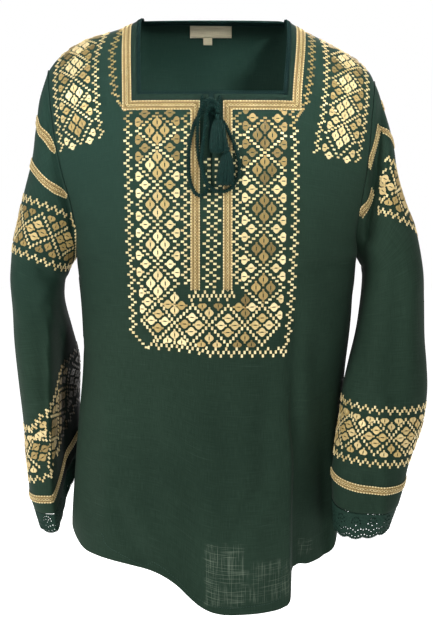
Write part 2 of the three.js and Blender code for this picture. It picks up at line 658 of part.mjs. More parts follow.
function sleeveSolids(side) {
  const cloth = sleeveGrid(side, (angle) => sleeveRings(side, angle));
  cloth.points[0].forEach((point, i) => {
    point.addScaledVector(cloth.points[1][i].clone().sub(point).normalize(), seamGap);
  });
  const wall = { inner: -clothWall, outer: 0, looped: true };
  const partRow = seamRings + plainRings[side].indexOf(forearmRing);
  const forearm = { points: cloth.points.slice(partRow), normals: cloth.normals.slice(partRow) };
  forearm.points[0] = forearm.points[0].map((point, i) => (
    point.clone().addScaledVector(forearm.points[1][i].clone().sub(point).normalize(), seamGap)));
  const upperArm = { ...cloth, ...wall, keep: (c, r) => r < partRow };
  addPiece(`sleeve_${side}`, solidFromCells(upperArm), clothColour);
  addPiece(`forearm_${side}`, solidFromCells({ ...forearm, ...wall }), clothColour);
  const strip = { ...cloth, inner: sleeveTrimLift, outer: sleeveTrimLift + braidWall, looped: true };
  sleeveBraids[side].forEach(({ name, route }, i) => {
    const isOnSleeve = (c) => ringOnRoute(side, route, sleeveAngles[c % sleeveAngles.length], 0) > 0;
    const keep = (c, r) => r === 2 + 2 * i && (isOnSleeve(c) || isOnSleeve(c + 1));
    addPiece(`braid_${name}_${side}`, solidFromCells({ ...strip, keep }), goldColour);
  });
  const cuffRow = cloth.points.length - 3;
  addPiece(`braid_cuff_${side}`, solidFromCells({ ...strip, keep: (c, r) => r === cuffRow }), goldColour);
  const lace = { ...sleeveGrid(side, () => laceRings), inner: -laceWall, outer: 0, looped: true };
  addPiece(`cuff_lace_${side}`, solidFromCells(lace), laceColour);
}

// Tie cords and tassels

function inFront([across, height, standOff]) {
  const line = at(across);
  const share = shareAt(height);
  const normal = faceNormal(true, line, share);
  return panelPoint(true, line, share).addScaledVector(normal, standOff);
}

function cordSolid(route) {
  const curve = new THREE.CatmullRomCurve3(route.map(inFront));
  const section = new THREE.Shape();
  for (let i = 0; i < cordSides; i++) {
    const turn = 2 * Math.PI * i / cordSides;
    const corner = [Math.cos(turn) * cordThickness / 2, Math.sin(turn) * cordThickness / 2];
    if (i === 0) section.moveTo(...corner);
    else section.lineTo(...corner);
  }
  section.closePath();
  const steps = Math.round(curve.getLength() / (3 * cordThickness));
  return new THREE.ExtrudeGeometry(section, { steps, bevelEnabled: false, extrudePath: curve });
}

function tasselSolid({ top, bottom, halfWidth, halfDepth }) {
  const length = top - bottom;
  const profile = tasselProfile.map(
    ({ reach, height }) => new THREE.Vector2(reach * halfWidth, height * length));
  const turned = new THREE.LatheGeometry(profile, tasselSides).rotateX(Math.PI / 2);
  return turned.scale(1, halfDepth / halfWidth, 1);
}

// The blouse

const blouse = new THREE.Group();

function addPiece(name, geometry, color) {
  const [roughness, metalness] = color === goldColour ? [0.45, 0.5] : [0.8, 0];
  const material = new THREE.MeshStandardMaterial({ color, roughness, metalness });
  const mesh = new THREE.Mesh(geometry, material);
  mesh.name = name;
  blouse.add(mesh);
  return mesh;
}

panelSolids();
crochetSolids();
sleeveSolids('left');
sleeveSolids('right');
addPiece('tie_cord_left', cordSolid(leftCordRoute), cordColour);
addPiece('tie_cord_right', cordSolid(rightCordRoute), cordColour);
for (const tassel of tassels) {
  const mesh = addPiece(`tassel_${tassel.side}`, tasselSolid(tassel), cordColour);
  const foot = inFront([tassel.across, tassel.bottom, tassel.standOff]);
  mesh.position.copy(inFront([tassel.across, tassel.top, tassel.standOff]));
  mesh.rotation.x = Math.atan2(foot.y - mesh.position.y, mesh.position.z - foot.z);
}

export default blouse;
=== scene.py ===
# Peasant blouse, filled out with nobody in it: cloth, counted embroidery, braid, lace and tie cords.
# Metres, +Z up, front towards -Y, left and right as seen from the front.
import math
import bmesh
import bpy
import numpy as np
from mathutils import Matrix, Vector
from mathutils.bvhtree import BVHTree


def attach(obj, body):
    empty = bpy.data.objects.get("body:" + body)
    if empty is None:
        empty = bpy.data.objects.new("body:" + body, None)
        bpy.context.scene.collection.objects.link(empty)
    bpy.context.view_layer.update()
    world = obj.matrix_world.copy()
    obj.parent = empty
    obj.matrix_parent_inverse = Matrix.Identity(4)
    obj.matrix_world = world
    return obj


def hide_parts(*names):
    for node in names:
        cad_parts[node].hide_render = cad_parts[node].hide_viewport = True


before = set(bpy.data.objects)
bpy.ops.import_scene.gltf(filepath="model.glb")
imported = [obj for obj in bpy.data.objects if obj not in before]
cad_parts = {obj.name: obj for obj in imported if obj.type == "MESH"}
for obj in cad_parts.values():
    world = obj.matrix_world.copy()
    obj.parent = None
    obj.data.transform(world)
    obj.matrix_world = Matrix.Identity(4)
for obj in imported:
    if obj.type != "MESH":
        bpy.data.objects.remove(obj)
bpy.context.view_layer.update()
scene = bpy.context.scene
mm = 0.001


# Camera and studio

studio = {
    "eye": (0.004, -1.900, -0.170), "lookAt": (0.004, 0, -0.360), "lens": 88.03,
    "floorHeight": -1.05, "floorReach": 9, "floorGlow": 0.75, "air": 0.36, "backdrop": 1.0,
    # name, place, aim, size, power, spread in degrees
    "lamps": [
        ("key", (-1.9, -1.9, 1.3), (0, 0, -0.3), 1.2, 74, 180),
        ("fill", (1.2, -2.6, 0.5), (0, 0, -0.3), 1.6, 5, 180),
        ("neck", (0.85, -1.5, 0.95), (0.0, 0.09, -0.05), 0.4, 0.8, 16),
        ("back", (0.5, 2.4, 1.0), (0, 0, -0.3), 1.8, 34, 180),
        ("top", (0, -0.1, 2.2), (0, 0, -0.3), 1.4, 14, 180),
    ],
}


def addCamera():
    data = bpy.data.cameras.new("camera")
    data.lens, data.sensor_width = studio["lens"], 36
    camera = bpy.data.objects.new("camera", data)
    scene.collection.objects.link(camera)
    camera.location = studio["eye"]
    looking = Vector(studio["lookAt"]) - Vector(studio["eye"])
    camera.rotation_euler = looking.to_track_quat("-Z", "Y").to_euler()
    scene.camera = camera


addCamera()


# Small sums

def mix(low, high, share):
    return low + (high - low) * share


def ease(low, high, value):
    share = np.clip((value - low) / (high - low), 0, 1)
    return share * share * (3 - 2 * share)


def unit(vectors):
    return vectors / np.maximum(np.linalg.norm(vectors, axis=-1, keepdims=True), 1e-12)


class Curve:
    # a smooth reading of a table whose rows are a key and what belongs to it
    def __init__(self, rows, keyUnit=mm):
        table = np.array(sorted(rows), float)
        self.keys, self.values = table[:, 0] * keyUnit, table[:, 1:] * mm
        count = len(self.keys)
        before, after = np.maximum(np.arange(count) - 1, 0), np.minimum(np.arange(count) + 1, count - 1)
        rise, run = self.values[after] - self.values[before], self.keys[after] - self.keys[before]
        self.slopes = rise / run[:, None]

    def __call__(self, at, column=0):
        at = np.clip(np.asarray(at, float), self.keys[0], self.keys[-1])
        i = np.clip(np.searchsorted(self.keys, at) - 1, 0, len(self.keys) - 2)
        width = self.keys[i + 1] - self.keys[i]
        t = (at - self.keys[i]) / width
        start, end = self.values[i, column], self.values[i + 1, column]
        startSlope, endSlope = self.slopes[i, column] * width, self.slopes[i + 1, column] * width
        return (start * (1 + 2 * t) * (1 - t) ** 2 + startSlope * t * (1 - t) ** 2
                + end * t * t * (3 - 2 * t) + endSlope * t * t * (t - 1))


# The body's shape. Rows are in millimetres.

torso = {
    "armpit": -283 * mm, "sideFoot": -606 * mm, "top": 3 * mm,
    # how square the section is, and how its bulge falls off below and above the armpits
    "squareness": 2.5, "roundness": 0.43, "upperRoundness": 0.8,
    # how late the chest, the back and the nape curve in towards the shoulder seam
    "chestPower": 3.2, "backPower": 11, "napePower": 20,
    # height, left side, right side, front, back
    "rows": Curve([(-283, -166, 174, 118, 110), (-350, -160, 168, 117, 105), (-410, -159, 161, 113, 101),
                   (-470, -164, 156, 112, 101), (-530, -169, 154, 114, 105), (-600, -173, 153, 118, 111),
                   (-710, -172, 151, 121, 117)]),
    # share of the way from the armpit to the shoulder tip, left edge, right edge
    "armholes": Curve([(0, -166, 174), (0.15, -163, 170), (0.3, -168, 174), (0.45, -177, 179),
                       (0.6, -184, 183), (0.8, -191, 187), (1, -197, 193)], keyUnit=1),
    "armholeFront": 60 * mm, "armholeBack": 64 * mm, "napeRise": 12 * mm,
    # distance from the middle, height
    "shoulderLeft": Curve([(85, 3), (101, -6), (125, -14), (150, -22), (174, -35), (188, -47), (198, -60)]),
    "shoulderRight": Curve([(85, 3), (101, -8), (125, -20), (150, -33), (175, -49), (188, -62), (195, -76)]),
    # distance across, height
    "frontHem": Curve([(-174, -606), (-157, -625), (-143, -630), (-98, -637), (-73, -642), (-56, -649),
                       (-41, -660), (-27, -674), (-15, -684), (0, -691), (20, -694), (66, -692), (84, -688),
                       (92, -679), (94.5, -651), (115, -648), (133, -643), (146, -632), (154, -606)]),
    "backHem": Curve([(-174, -606), (-160, -624), (-120, -640), (-60, -664), (0, -684), (60, -672),
                      (110, -650), (146, -630), (154, -606)]),
    "fold": {"across": 93 * mm, "softness": 5 * mm, "until": 132 * mm, "top": -400 * mm, "foot": -650 * mm,
             "depth": 30 * mm},
}


def shoulderHeight(across):
    away = np.abs(across)
    return np.where(across < 0, torso["shoulderLeft"](away), torso["shoulderRight"](away))


def sideAt(side, share):
    column = 0 if side == "left" else 1
    lower = torso["rows"](mix(torso["armpit"], torso["sideFoot"], -share), column)
    return np.where(share >= 0, torso["armholes"](share, column), lower)


def bodyPoint(isFront, across, top, share):
    # share runs from -1 at the hem through 0 at the armpits to 1 at the shoulder seam, which stands at top
    armpit, rows = torso["armpit"], torso["rows"]
    across, top, share = np.broadcast_arrays(across, top, share)
    isLower = share < 0
    hem = torso["frontHem" if isFront else "backHem"](across)
    height = np.where(isLower, mix(armpit, hem, -share), mix(armpit, top, share))
    left = np.where(isLower, rows(height, 0), sideAt("left", share))
    right = np.where(isLower, rows(height, 1), sideAt("right", share))
    reach = np.clip(np.abs(2 * across - left - right) / (right - left), 0, 1)
    upperPower = mix(torso["roundness"], torso["upperRoundness"], ease(0, 0.4, share))
    power = np.where(isLower, torso["roundness"], upperPower)
    bulge = (1 - reach ** torso["squareness"]) ** power
    upper = np.clip(share, 0, 1)
    edge = np.sqrt(np.maximum(0, 1 - (2 * upper - 1) ** 2))
    if isFront:
        fold = torso["fold"]
        half = fold["softness"] / 2
        back = (fold["depth"] * ease(fold["top"], fold["foot"], height)
                * (1 - ease(fold["until"], right - 2 * mm, across))
                * ease(fold["across"] - half, fold["across"] + half, across))
        lowerY = back - rows(height, 2) * bulge
        middle = rows(armpit, 2) * np.sqrt(np.maximum(0, 1 - upper ** torso["chestPower"]))
        upperY = -mix(torso["armholeFront"] * edge, middle, bulge)
        return np.stack([across, np.where(isLower, lowerY, upperY), height], axis=-1)
    middle = rows(armpit, 3) * np.sqrt(np.maximum(0, 1 - upper ** torso["backPower"]))
    rise = torso["napeRise"] * np.sin(math.pi * upper ** torso["napePower"]) * bulge
    upperY = mix(torso["armholeBack"] * edge, middle, bulge)
    return np.stack([across, np.where(isLower, rows(height, 3) * bulge, upperY),
                     np.where(isLower, height, height + rise)], axis=-1)


def shareAt(height):
    return (height - torso["armpit"]) / (torso["top"] - torso["armpit"])


def bodyNormal(isFront, across, share):
    across = np.asarray(across, float)
    step, climb = 0.5 * mm, 1e-3
    aside = (bodyPoint(isFront, across + step, shoulderHeight(across + step), share)
             - bodyPoint(isFront, across - step, shoulderHeight(across - step), share))
    top = shoulderHeight(across)
    up = bodyPoint(isFront, across, top, share + climb) - bodyPoint(isFront, across, top, share - climb)
    return unit(np.cross(aside, up)) * (1 if isFront else -1)


# Tie cords: each point's place across, its height and how far it stands off the front, in metres.

cords = {
    "thickness": 0.0032,
    "left": [
        (-0.012, -0.094, 0.0022), (-0.012, -0.100, 0.0026), (-0.009, -0.107, 0.0034),
        (-0.003, -0.112, 0.0036), (0.004, -0.116, 0.0036), (0.012, -0.124, 0.0036), (0.019, -0.137, 0.0042),
        (0.026, -0.154, 0.0044), (0.0295, -0.170, 0.0042), (0.028, -0.186, 0.0038), (0.020, -0.198, 0.0036),
        (0.009, -0.202, 0.0038), (-0.002, -0.198, 0.0058), (-0.009, -0.188, 0.0076),
        (-0.0125, -0.174, 0.0080), (-0.0125, -0.158, 0.0080), (-0.010, -0.142, 0.0080),
        (-0.0086, -0.127, 0.0086), (-0.0072, -0.115, 0.0100), (-0.0026, -0.1075, 0.0114),
        (0.0034, -0.1086, 0.0114), (0.0054, -0.1154, 0.0112),
    ],
    "right": [
        (0.008, -0.094, 0.0022), (0.0074, -0.101, 0.0034), (0.003, -0.107, 0.0060), (-0.004, -0.1105, 0.0070),
        (-0.012, -0.114, 0.0066), (-0.019, -0.122, 0.0050), (-0.024, -0.137, 0.0040),
        (-0.027, -0.155, 0.0038), (-0.0275, -0.175, 0.0038), (-0.025, -0.193, 0.0038),
        (-0.0195, -0.204, 0.0038), (-0.0115, -0.206, 0.0036), (-0.0066, -0.198, 0.0034),
        (-0.009, -0.186, 0.0032), (-0.014, -0.172, 0.0038), (-0.017, -0.156, 0.0042),
        (-0.0174, -0.140, 0.0046), (-0.017, -0.126, 0.0086), (-0.014, -0.112, 0.0120),
        (-0.007, -0.1025, 0.0136), (0.0015, -0.103, 0.0130), (0.0066, -0.110, 0.0090),
        (0.006, -0.119, 0.0064), (0.0054, -0.129, 0.0053), (0.008, -0.139, 0.0050),
        (0.0124, -0.146, 0.0060), (0.0156, -0.1515, 0.0084),
    ],
    "strands": 2, "sides": 7, "turn": 0.0062, "step": 0.0007,
    # a strand's radius and its distance from the middle, as parts of the thickness
    "strandRadius": 0.47, "strandOffset": 0.34,
    # how far the twist's threads shift round and along the cord
    "threadPitch": 0.8 * mm, "threadSlant": 0.4,
}


def inFront(across, height, standOff):
    share = shareAt(height)
    away = bodyNormal(True, across, share) * np.asarray(standOff)[..., None]
    return bodyPoint(True, across, torso["top"], share) + away


def smoothLine(points, step):
    # a centripetal Catmull-Rom line through the points, in even steps
    points = np.asarray(points, float)
    ends = [2 * points[0] - points[1], *points, 2 * points[-1] - points[-2]]
    line = []
    for a, b, c, d in zip(ends, ends[1:], ends[2:], ends[3:]):
        knots = [0]
        for p, q in ((a, b), (b, c), (c, d)):
            knots.append(knots[-1] + max(1e-9, np.linalg.norm(q - p) ** 0.5))
        t = np.linspace(knots[1], knots[2], 24, endpoint=False)[:, None]
        ab = (a * (knots[1] - t) + b * (t - knots[0])) / (knots[1] - knots[0])
        bc = (b * (knots[2] - t) + c * (t - knots[1])) / (knots[2] - knots[1])
        cd = (c * (knots[3] - t) + d * (t - knots[2])) / (knots[3] - knots[2])
        abc = (ab * (knots[2] - t) + bc * (t - knots[0])) / (knots[2] - knots[0])
        bcd = (bc * (knots[3] - t) + cd * (t - knots[1])) / (knots[3] - knots[1])
        line.append((abc * (knots[2] - t) + bcd * (t - knots[1])) / (knots[2] - knots[1]))
    return evenly(np.vstack([*line, points[-1:]]), step)


def evenly(line, step):
    along = np.concatenate([[0], np.cumsum(np.linalg.norm(np.diff(line, axis=0), axis=1))])
    at = np.linspace(0, along[-1], max(2, round(along[-1] / step) + 1))
    return np.stack([np.interp(at, along, line[:, k]) for k in range(3)], axis=1)


# Meshes

def newPiece(name, points, faces, finish=None, weave=None):
    mesh = bpy.data.meshes.new(name)
    corners = [tuple(int(i) for i in face) for face in faces]
    mesh.from_pydata([tuple(point) for point in np.asarray(points, float)], [], corners)
    mesh.polygons.foreach_set("use_smooth", np.ones(len(mesh.polygons), bool))
    if weave is not None:
        layer = mesh.uv_layers.new(name="weave")
        corners = np.zeros(len(mesh.loops), np.int32)
        mesh.loops.foreach_get("vertex_index", corners)
        layer.data.foreach_set("uv", np.asarray(weave, np.float32)[corners].ravel())
    mesh.update()
    piece = bpy.data.objects.new(name, mesh)
    scene.collection.objects.link(piece)
    if finish:
        mesh.materials.append(finish)
    return piece


def gridFaces(rowCount, columnCount, kept=None, looped=False, flipped=False):
    steps = columnCount if looped else columnCount - 1
    rows, columns = np.meshgrid(np.arange(rowCount - 1), np.arange(steps), indexing="ij")
    if kept is not None:
        rows, columns = rows[kept], columns[kept]
    rows, columns = rows.ravel(), columns.ravel()
    beside = (columns + 1) % columnCount
    corners = [rows * columnCount + columns, rows * columnCount + beside,
               (rows + 1) * columnCount + beside, (rows + 1) * columnCount + columns]
    return np.stack(corners[::-1] if flipped else corners, axis=1)


def gridNormals(points, looped=False, flipped=False):
    if looped:
        wrapped = np.concatenate([points[:, -1:], points, points[:, :1]], axis=1)
        aside = wrapped[:, 2:] - wrapped[:, :-2]
    else:
        aside = np.gradient(points, axis=1)
    normals = unit(np.cross(aside, np.gradient(points, axis=0)))
    return -normals if flipped else normals


def tube(line, radius, sides, phase=None, offset=0):
    # rings round a line, each turned on by phase; offset puts the tube beside the line
    forward = unit(np.gradient(line, axis=0))
    side = np.zeros_like(forward)
    side[0] = unit(np.cross(forward[0], (0, 0, 1) if abs(forward[0][2]) < 0.9 else (1, 0, 0)))
    for i in range(1, len(line)):
        side[i] = unit(side[i - 1] - forward[i] * np.dot(side[i - 1], forward[i]))
    other = np.cross(forward, side)
    phase = np.zeros(len(line)) if phase is None else phase
    centre = line + offset * (side * np.cos(phase)[:, None] + other * np.sin(phase)[:, None])
    turns = phase[:, None] + 2 * math.pi * np.arange(sides) / sides
    radius = np.broadcast_to(radius, len(line))[:, None, None]
    out = side[:, None] * np.cos(turns)[..., None] + other[:, None] * np.sin(turns)[..., None]
    rings = centre[:, None] + radius * out
    points = np.vstack([rings.reshape(-1, 3), centre[:1], centre[-1:]])
    faces = [tuple(f) for f in gridFaces(len(line), sides, looped=True, flipped=True)]
    foot, head = len(points) - 2, len(points) - 1
    last = (len(line) - 1) * sides
    faces += [(foot, i, (i + 1) % sides) for i in range(sides)]
    faces += [(head, last + (i + 1) % sides, last + i) for i in range(sides)]
    return points, faces


def joined(parts):
    points, faces, count = [], [], 0
    for partPoints, partFaces in parts:
        points.append(partPoints)
        faces += [tuple(i + count for i in f) for f in partFaces]
        count += len(partPoints)
    return np.vstack(points), faces


def fit(piece, slot, *nodes):
    # one body carries everything; some pieces stand for solids of the CAD model
    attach(piece, "root")
    if nodes:
        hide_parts(*nodes)


def pressed(points, normals, creases):
    # creases run from one place (across, height) to another, bowed aside in between, and press the cloth in
    depth = np.zeros(points.shape[:-1])
    for fromX, fromZ, toX, toZ, width, deep, bow in creases:
        start, way = np.array([fromX, fromZ]) * mm, np.array([toX - fromX, toZ - fromZ]) * mm
        length = np.linalg.norm(way)
        away = points[..., [0, 2]] - start
        along = (away @ way) / length
        aside = (away[..., 0] * way[1] - away[..., 1] * way[0]) / length
        share = np.clip(along / length, 0, 1)
        aside = aside - bow * mm * 4 * share * (1 - share)
        soft = np.maximum(width * mm, 0.22 * length)
        ends = ease(-0.5 * soft, soft, along) * ease(length + 0.5 * soft, length - soft, along)
        depth += deep * mm * ends * np.exp(-(aside / (width * mm)) ** 2)
    return points - normals * depth[..., None]


# Front and back panels

panels = {
    "wall": 1.0 * mm, "step": 4.8 * mm, "sideColumns": 26, "upperRows": 60, "lowerRows": 78,
    "neckHeight": -91, "slitEnd": -202, "slitMiddle": -2, "slitHalf": 0.4, "slitGape": 2,
    "backNeckShare": 0.968, "lowerLength": 0.388,
    "rippleDepth": 4.5 * mm, "rippleSizes": (0.07, 0.2), "seamReach": 16 * mm, "seamTuck": 0.8 * mm,
    # places across at the foot and at the shoulder seam, with how far the slit spreads them
    "neckLeft": (-86, -89, 0), "neckRight": (83.5, 91, 0), "braidLeft": (-104, -107, 0),
    "braidRight": (101.5, 109, 0),
    "foldEdge": [(88, 96, 0), (91, 98.5, 0), (92, 99.5, 0), (93, 100.5, 0), (94.2, 101.5, 0), (96, 103, 0)],
    "hemRows": [0, 1.2, 3.2, 8.2, 9.2, 10.4],
    # from across, height to across, height, half width, depth, bow
    "frontCreases": [
        (-168, -250, -120, -212, 9, 2.2, 4), (-166, -275, -100, -262, 12, 2.0, 6),
        (-160, -300, -118, -318, 14, 2.2, -5), (172, -262, 128, -226, 10, 2.4, -4),
        (171, -284, 118, -292, 13, 2.0, 5), (164, -318, 120, -345, 15, 2.4, 4),
        (98, -330, 96, -500, 9, 4.2, 2), (122, -360, 118, -560, 12, 4.0, -5),
        (142, -400, 138, -600, 10, 4.0, 4), (-118, -560, -74, -636, 10, 3.2, 5),
        (-100, -545, -60, -618, 12, -2.4, 4), (22, -612, 68, -528, 9, 3.0, -5),
        (38, -625, 80, -548, 10, -2.0, -4), (-70, -500, 40, -560, 16, 1.6, 8),
        (-40, -470, 60, -520, 18, -1.4, 8), (-150, -380, -148, -600, 14, 3.4, 4),
        (-128, -420, -122, -610, 12, -2.4, -3), (-20, -540, -16, -690, 16, 3.2, 5),
        (8, -420, 12, -640, 15, 2.6, -6), (-70, -420, -64, -600, 14, 2.6, 5),
        (66, -400, 60, -560, 12, 2.4, 4), (52, -600, 54, -700, 14, -2.2, 3),
        (-60, -600, -50, -660, 15, -1.8, 2), (-118, -40, -122, -110, 8, 1.4, 3),
        (118, -48, 122, -120, 8, 1.6, -3), (-110, -16, -116, -60, 6, 1.6, 1),
        (-190, -78, -178, -150, 5, 1.6, 1), (-138, -70, -108, -99, 3.2, 1.8, 2),
        (-134, -84, -106, -112, 3.2, 1.6, 2), (-130, -100, -112, -118, 3, 1.0, 1),
        (100, -150, 106, -260, 7, 1.4, 2), (-112, -140, -116, -240, 7, 1.2, -2),
    ],
    "backCreases": [
        (-164, -262, -96, -210, 11, 3.0, 5), (-166, -290, -84, -276, 14, 2.6, -5),
        (170, -270, 100, -216, 12, 3.0, -5), (168, -296, 90, -286, 15, 2.4, 5),
        (-120, -300, -116, -600, 17, 4.2, 7), (-60, -350, -66, -660, 20, 4.6, -8),
        (4, -300, 0, -680, 22, 4.4, 8), (66, -340, 70, -660, 19, 4.6, -7),
        (118, -310, 112, -640, 16, 4.0, 6), (-90, -420, -92, -650, 15, -3.2, 4),
        (34, -440, 32, -680, 16, -3.2, 4), (-30, -470, -28, -690, 15, -2.6, -4),
        (96, -400, 92, -640, 14, -2.8, -4), (-70, -60, -40, -140, 16, 1.8, 4),
        (70, -60, 44, -150, 16, 1.8, -4), (-140, -80, -120, -200, 14, 2.2, 5),
        (140, -90, 122, -210, 14, 2.2, -5), (-30, -120, 40, -128, 20, 1.2, 6),
    ],
}


def placeColumns(stops, step):
    stops = [np.array(stop, float) * mm for stop in stops]
    columns = []
    for a, b in zip(stops, stops[1:]):
        count = max(1, round(abs(b[0] - a[0]) / step))
        columns += [a + (b - a) * k / count for k in range(count)]
    return np.array([*columns, stops[-1]])


def panelShares():
    p = panels
    upper = np.linspace(0, 1, p["upperRows"] + 1)
    named = [shareAt(p["slitEnd"] * mm), shareAt(p["neckHeight"] * mm), p["backNeckShare"]]
    for share in named:
        upper[np.argmin(np.abs(upper - share))] = share
    lower = np.linspace(-1, 0, p["lowerRows"] + 1)[:-1]
    hem = -1 + np.array(p["hemRows"]) * mm / p["lowerLength"]
    return np.concatenate([hem, lower[lower > hem[-1] + 0.004], upper])


def panelGrid(isFront, shares):
    p = panels
    upper = ease(0.6, 1, shares)[:, None]
    slit = [(p["slitMiddle"] + k * p["slitHalf"], p["slitMiddle"] + k * p["slitHalf"], k * p["slitGape"])
            for k in (-1, 1)]
    middle = slit if isFront else [(p["slitMiddle"], p["slitMiddle"], 0)]
    foldEdge = p["foldEdge"] if isFront else []
    stops = [p["braidLeft"], p["neckLeft"], *middle, p["neckRight"], *foldEdge, p["braidRight"]]
    columns = placeColumns(stops, p["step"])
    spread = ease(shareAt(p["slitEnd"] * mm), shareAt(p["neckHeight"] * mm), shares)[:, None]
    across = mix(columns[:, 0], columns[:, 1], upper) + columns[:, 2] * spread
    top = np.broadcast_to(shoulderHeight(across[-1]), across.shape)
    parts = np.sin(np.linspace(1, 0, p["sideColumns"] + 1)[:-1] * math.pi / 2)
    sides = []
    for side, inner in (("left", across[:, :1]), ("right", across[:, -1:])):
        away = mix(inner, sideAt(side, shares)[:, None], parts)
        sides.append((away, np.broadcast_to(shoulderHeight(away[-1]), away.shape)))
    across = np.hstack([sides[0][0], across, sides[1][0][:, ::-1]])
    top = np.hstack([sides[0][1], top, sides[1][1][:, ::-1]])
    points = bodyPoint(isFront, across, top, np.broadcast_to(shares[:, None], across.shape))
    return points, columns, len(parts)


def seamFade(points, reach):
    # 0 along the side, shoulder and armhole seams, 1 inside the panel
    length = lambda steps: np.cumsum(np.linalg.norm(steps, axis=-1), axis=1)
    steps = np.diff(points, axis=1, prepend=points[:, :1])
    fromLeft = length(steps)
    fromRight = fromLeft[:, -1:] - fromLeft
    down = np.linalg.norm(np.diff(points, axis=0, append=points[-1:]), axis=-1)
    fromTop = np.cumsum(down[::-1], axis=0)[::-1]
    return ease(0, reach, np.minimum(np.minimum(fromLeft, fromRight), fromTop))


def clothFlow(points, seed, size):
    # broad unevenness of hanging cloth, the same on each run
    rng = np.random.default_rng(seed)
    flow = np.zeros(points.shape[:-1])
    for _ in range(14):
        way = unit(rng.normal(size=3) * (1, 0.6, 0.55))
        wave = rng.uniform(*size)
        flow += np.sin(points @ way * 2 * math.pi / wave + rng.uniform(0, 6.28)) * wave / size[1]
    return flow / 14


def weaveOf(points):
    # cloth lengths across and up, for materials that follow the weave
    across = np.cumsum(np.linalg.norm(np.diff(points, axis=1, prepend=points[:, :1]), axis=-1), axis=1)
    up = np.cumsum(np.linalg.norm(np.diff(points, axis=0, prepend=points[:1]), axis=-1), axis=0)
    middle = points.shape[1] // 2
    across = across - across[:, middle:middle + 1]
    return np.stack([across, np.broadcast_to(up[:, middle:middle + 1], across.shape)], axis=-1)


def panelCloth(isFront, finish):
    p = panels
    shares = panelShares()
    points, columns, sideCount = panelGrid(isFront, shares)
    normals = gridNormals(points) * (1 if isFront else -1)
    fade = seamFade(points, p["seamReach"])
    ripple = clothFlow(points, 5 if isFront else 9, p["rippleSizes"]) * p["rippleDepth"]
    ripple = ripple * fade * ease(0.55, -0.2, shares)[:, None]
    points = points + normals * ripple[..., None]
    creased = pressed(points, normals, p["frontCreases" if isFront else "backCreases"])
    points = mix(points, creased, fade[..., None])
    seam = np.exp(-(np.arange(points.shape[1]) / 1.5) ** 2)
    tuckIn = (seam + seam[::-1])[None, :] * p["seamTuck"]
    points = points - normals * tuckIn[..., None]
    columnOf = lambda across: sideCount + int(np.argmin(np.abs(columns[:, 0] - across * mm)))
    slitLeft = columnOf(p["slitMiddle"] - p["slitHalf"])
    neck = [columnOf(p[name][0]) for name in ("neckLeft", "neckRight")]
    rowOf = lambda share: int(np.argmin(np.abs(shares - share)))
    kept = np.ones((len(shares) - 1, points.shape[1] - 1), bool)
    if isFront:
        kept[rowOf(shareAt(p["neckHeight"] * mm)):, neck[0]:neck[1]] = False
        kept[rowOf(shareAt(p["slitEnd"] * mm)):, slitLeft] = False
    else:
        kept[rowOf(p["backNeckShare"]):, neck[0]:neck[1]] = False
    faces = gridFaces(*points.shape[:2], kept=kept, flipped=not isFront)
    name = "frontCloth" if isFront else "backCloth"
    piece = newPiece(name, points.reshape(-1, 3), faces, finish, weaveOf(points).reshape(-1, 2))
    wallIn(piece, p["wall"])
    return piece


def wallIn(piece, thickness):
    wall = piece.modifiers.new("wall", "SOLIDIFY")
    wall.thickness, wall.offset = thickness, -1
    loose(piece)


def loose(piece):
    # points that no face uses go
    work = bmesh.new()
    work.from_mesh(piece.data)
    bmesh.ops.delete(work, geom=[v for v in work.verts if not v.link_faces], context="VERTS")
    work.to_mesh(piece.data)
    work.free()


# Sleeves. A ring counts down the sleeve from 0 at the armhole; an angle goes round from the outer side (0)
# over the front to the inner side (pi), and back along the rear below 0.

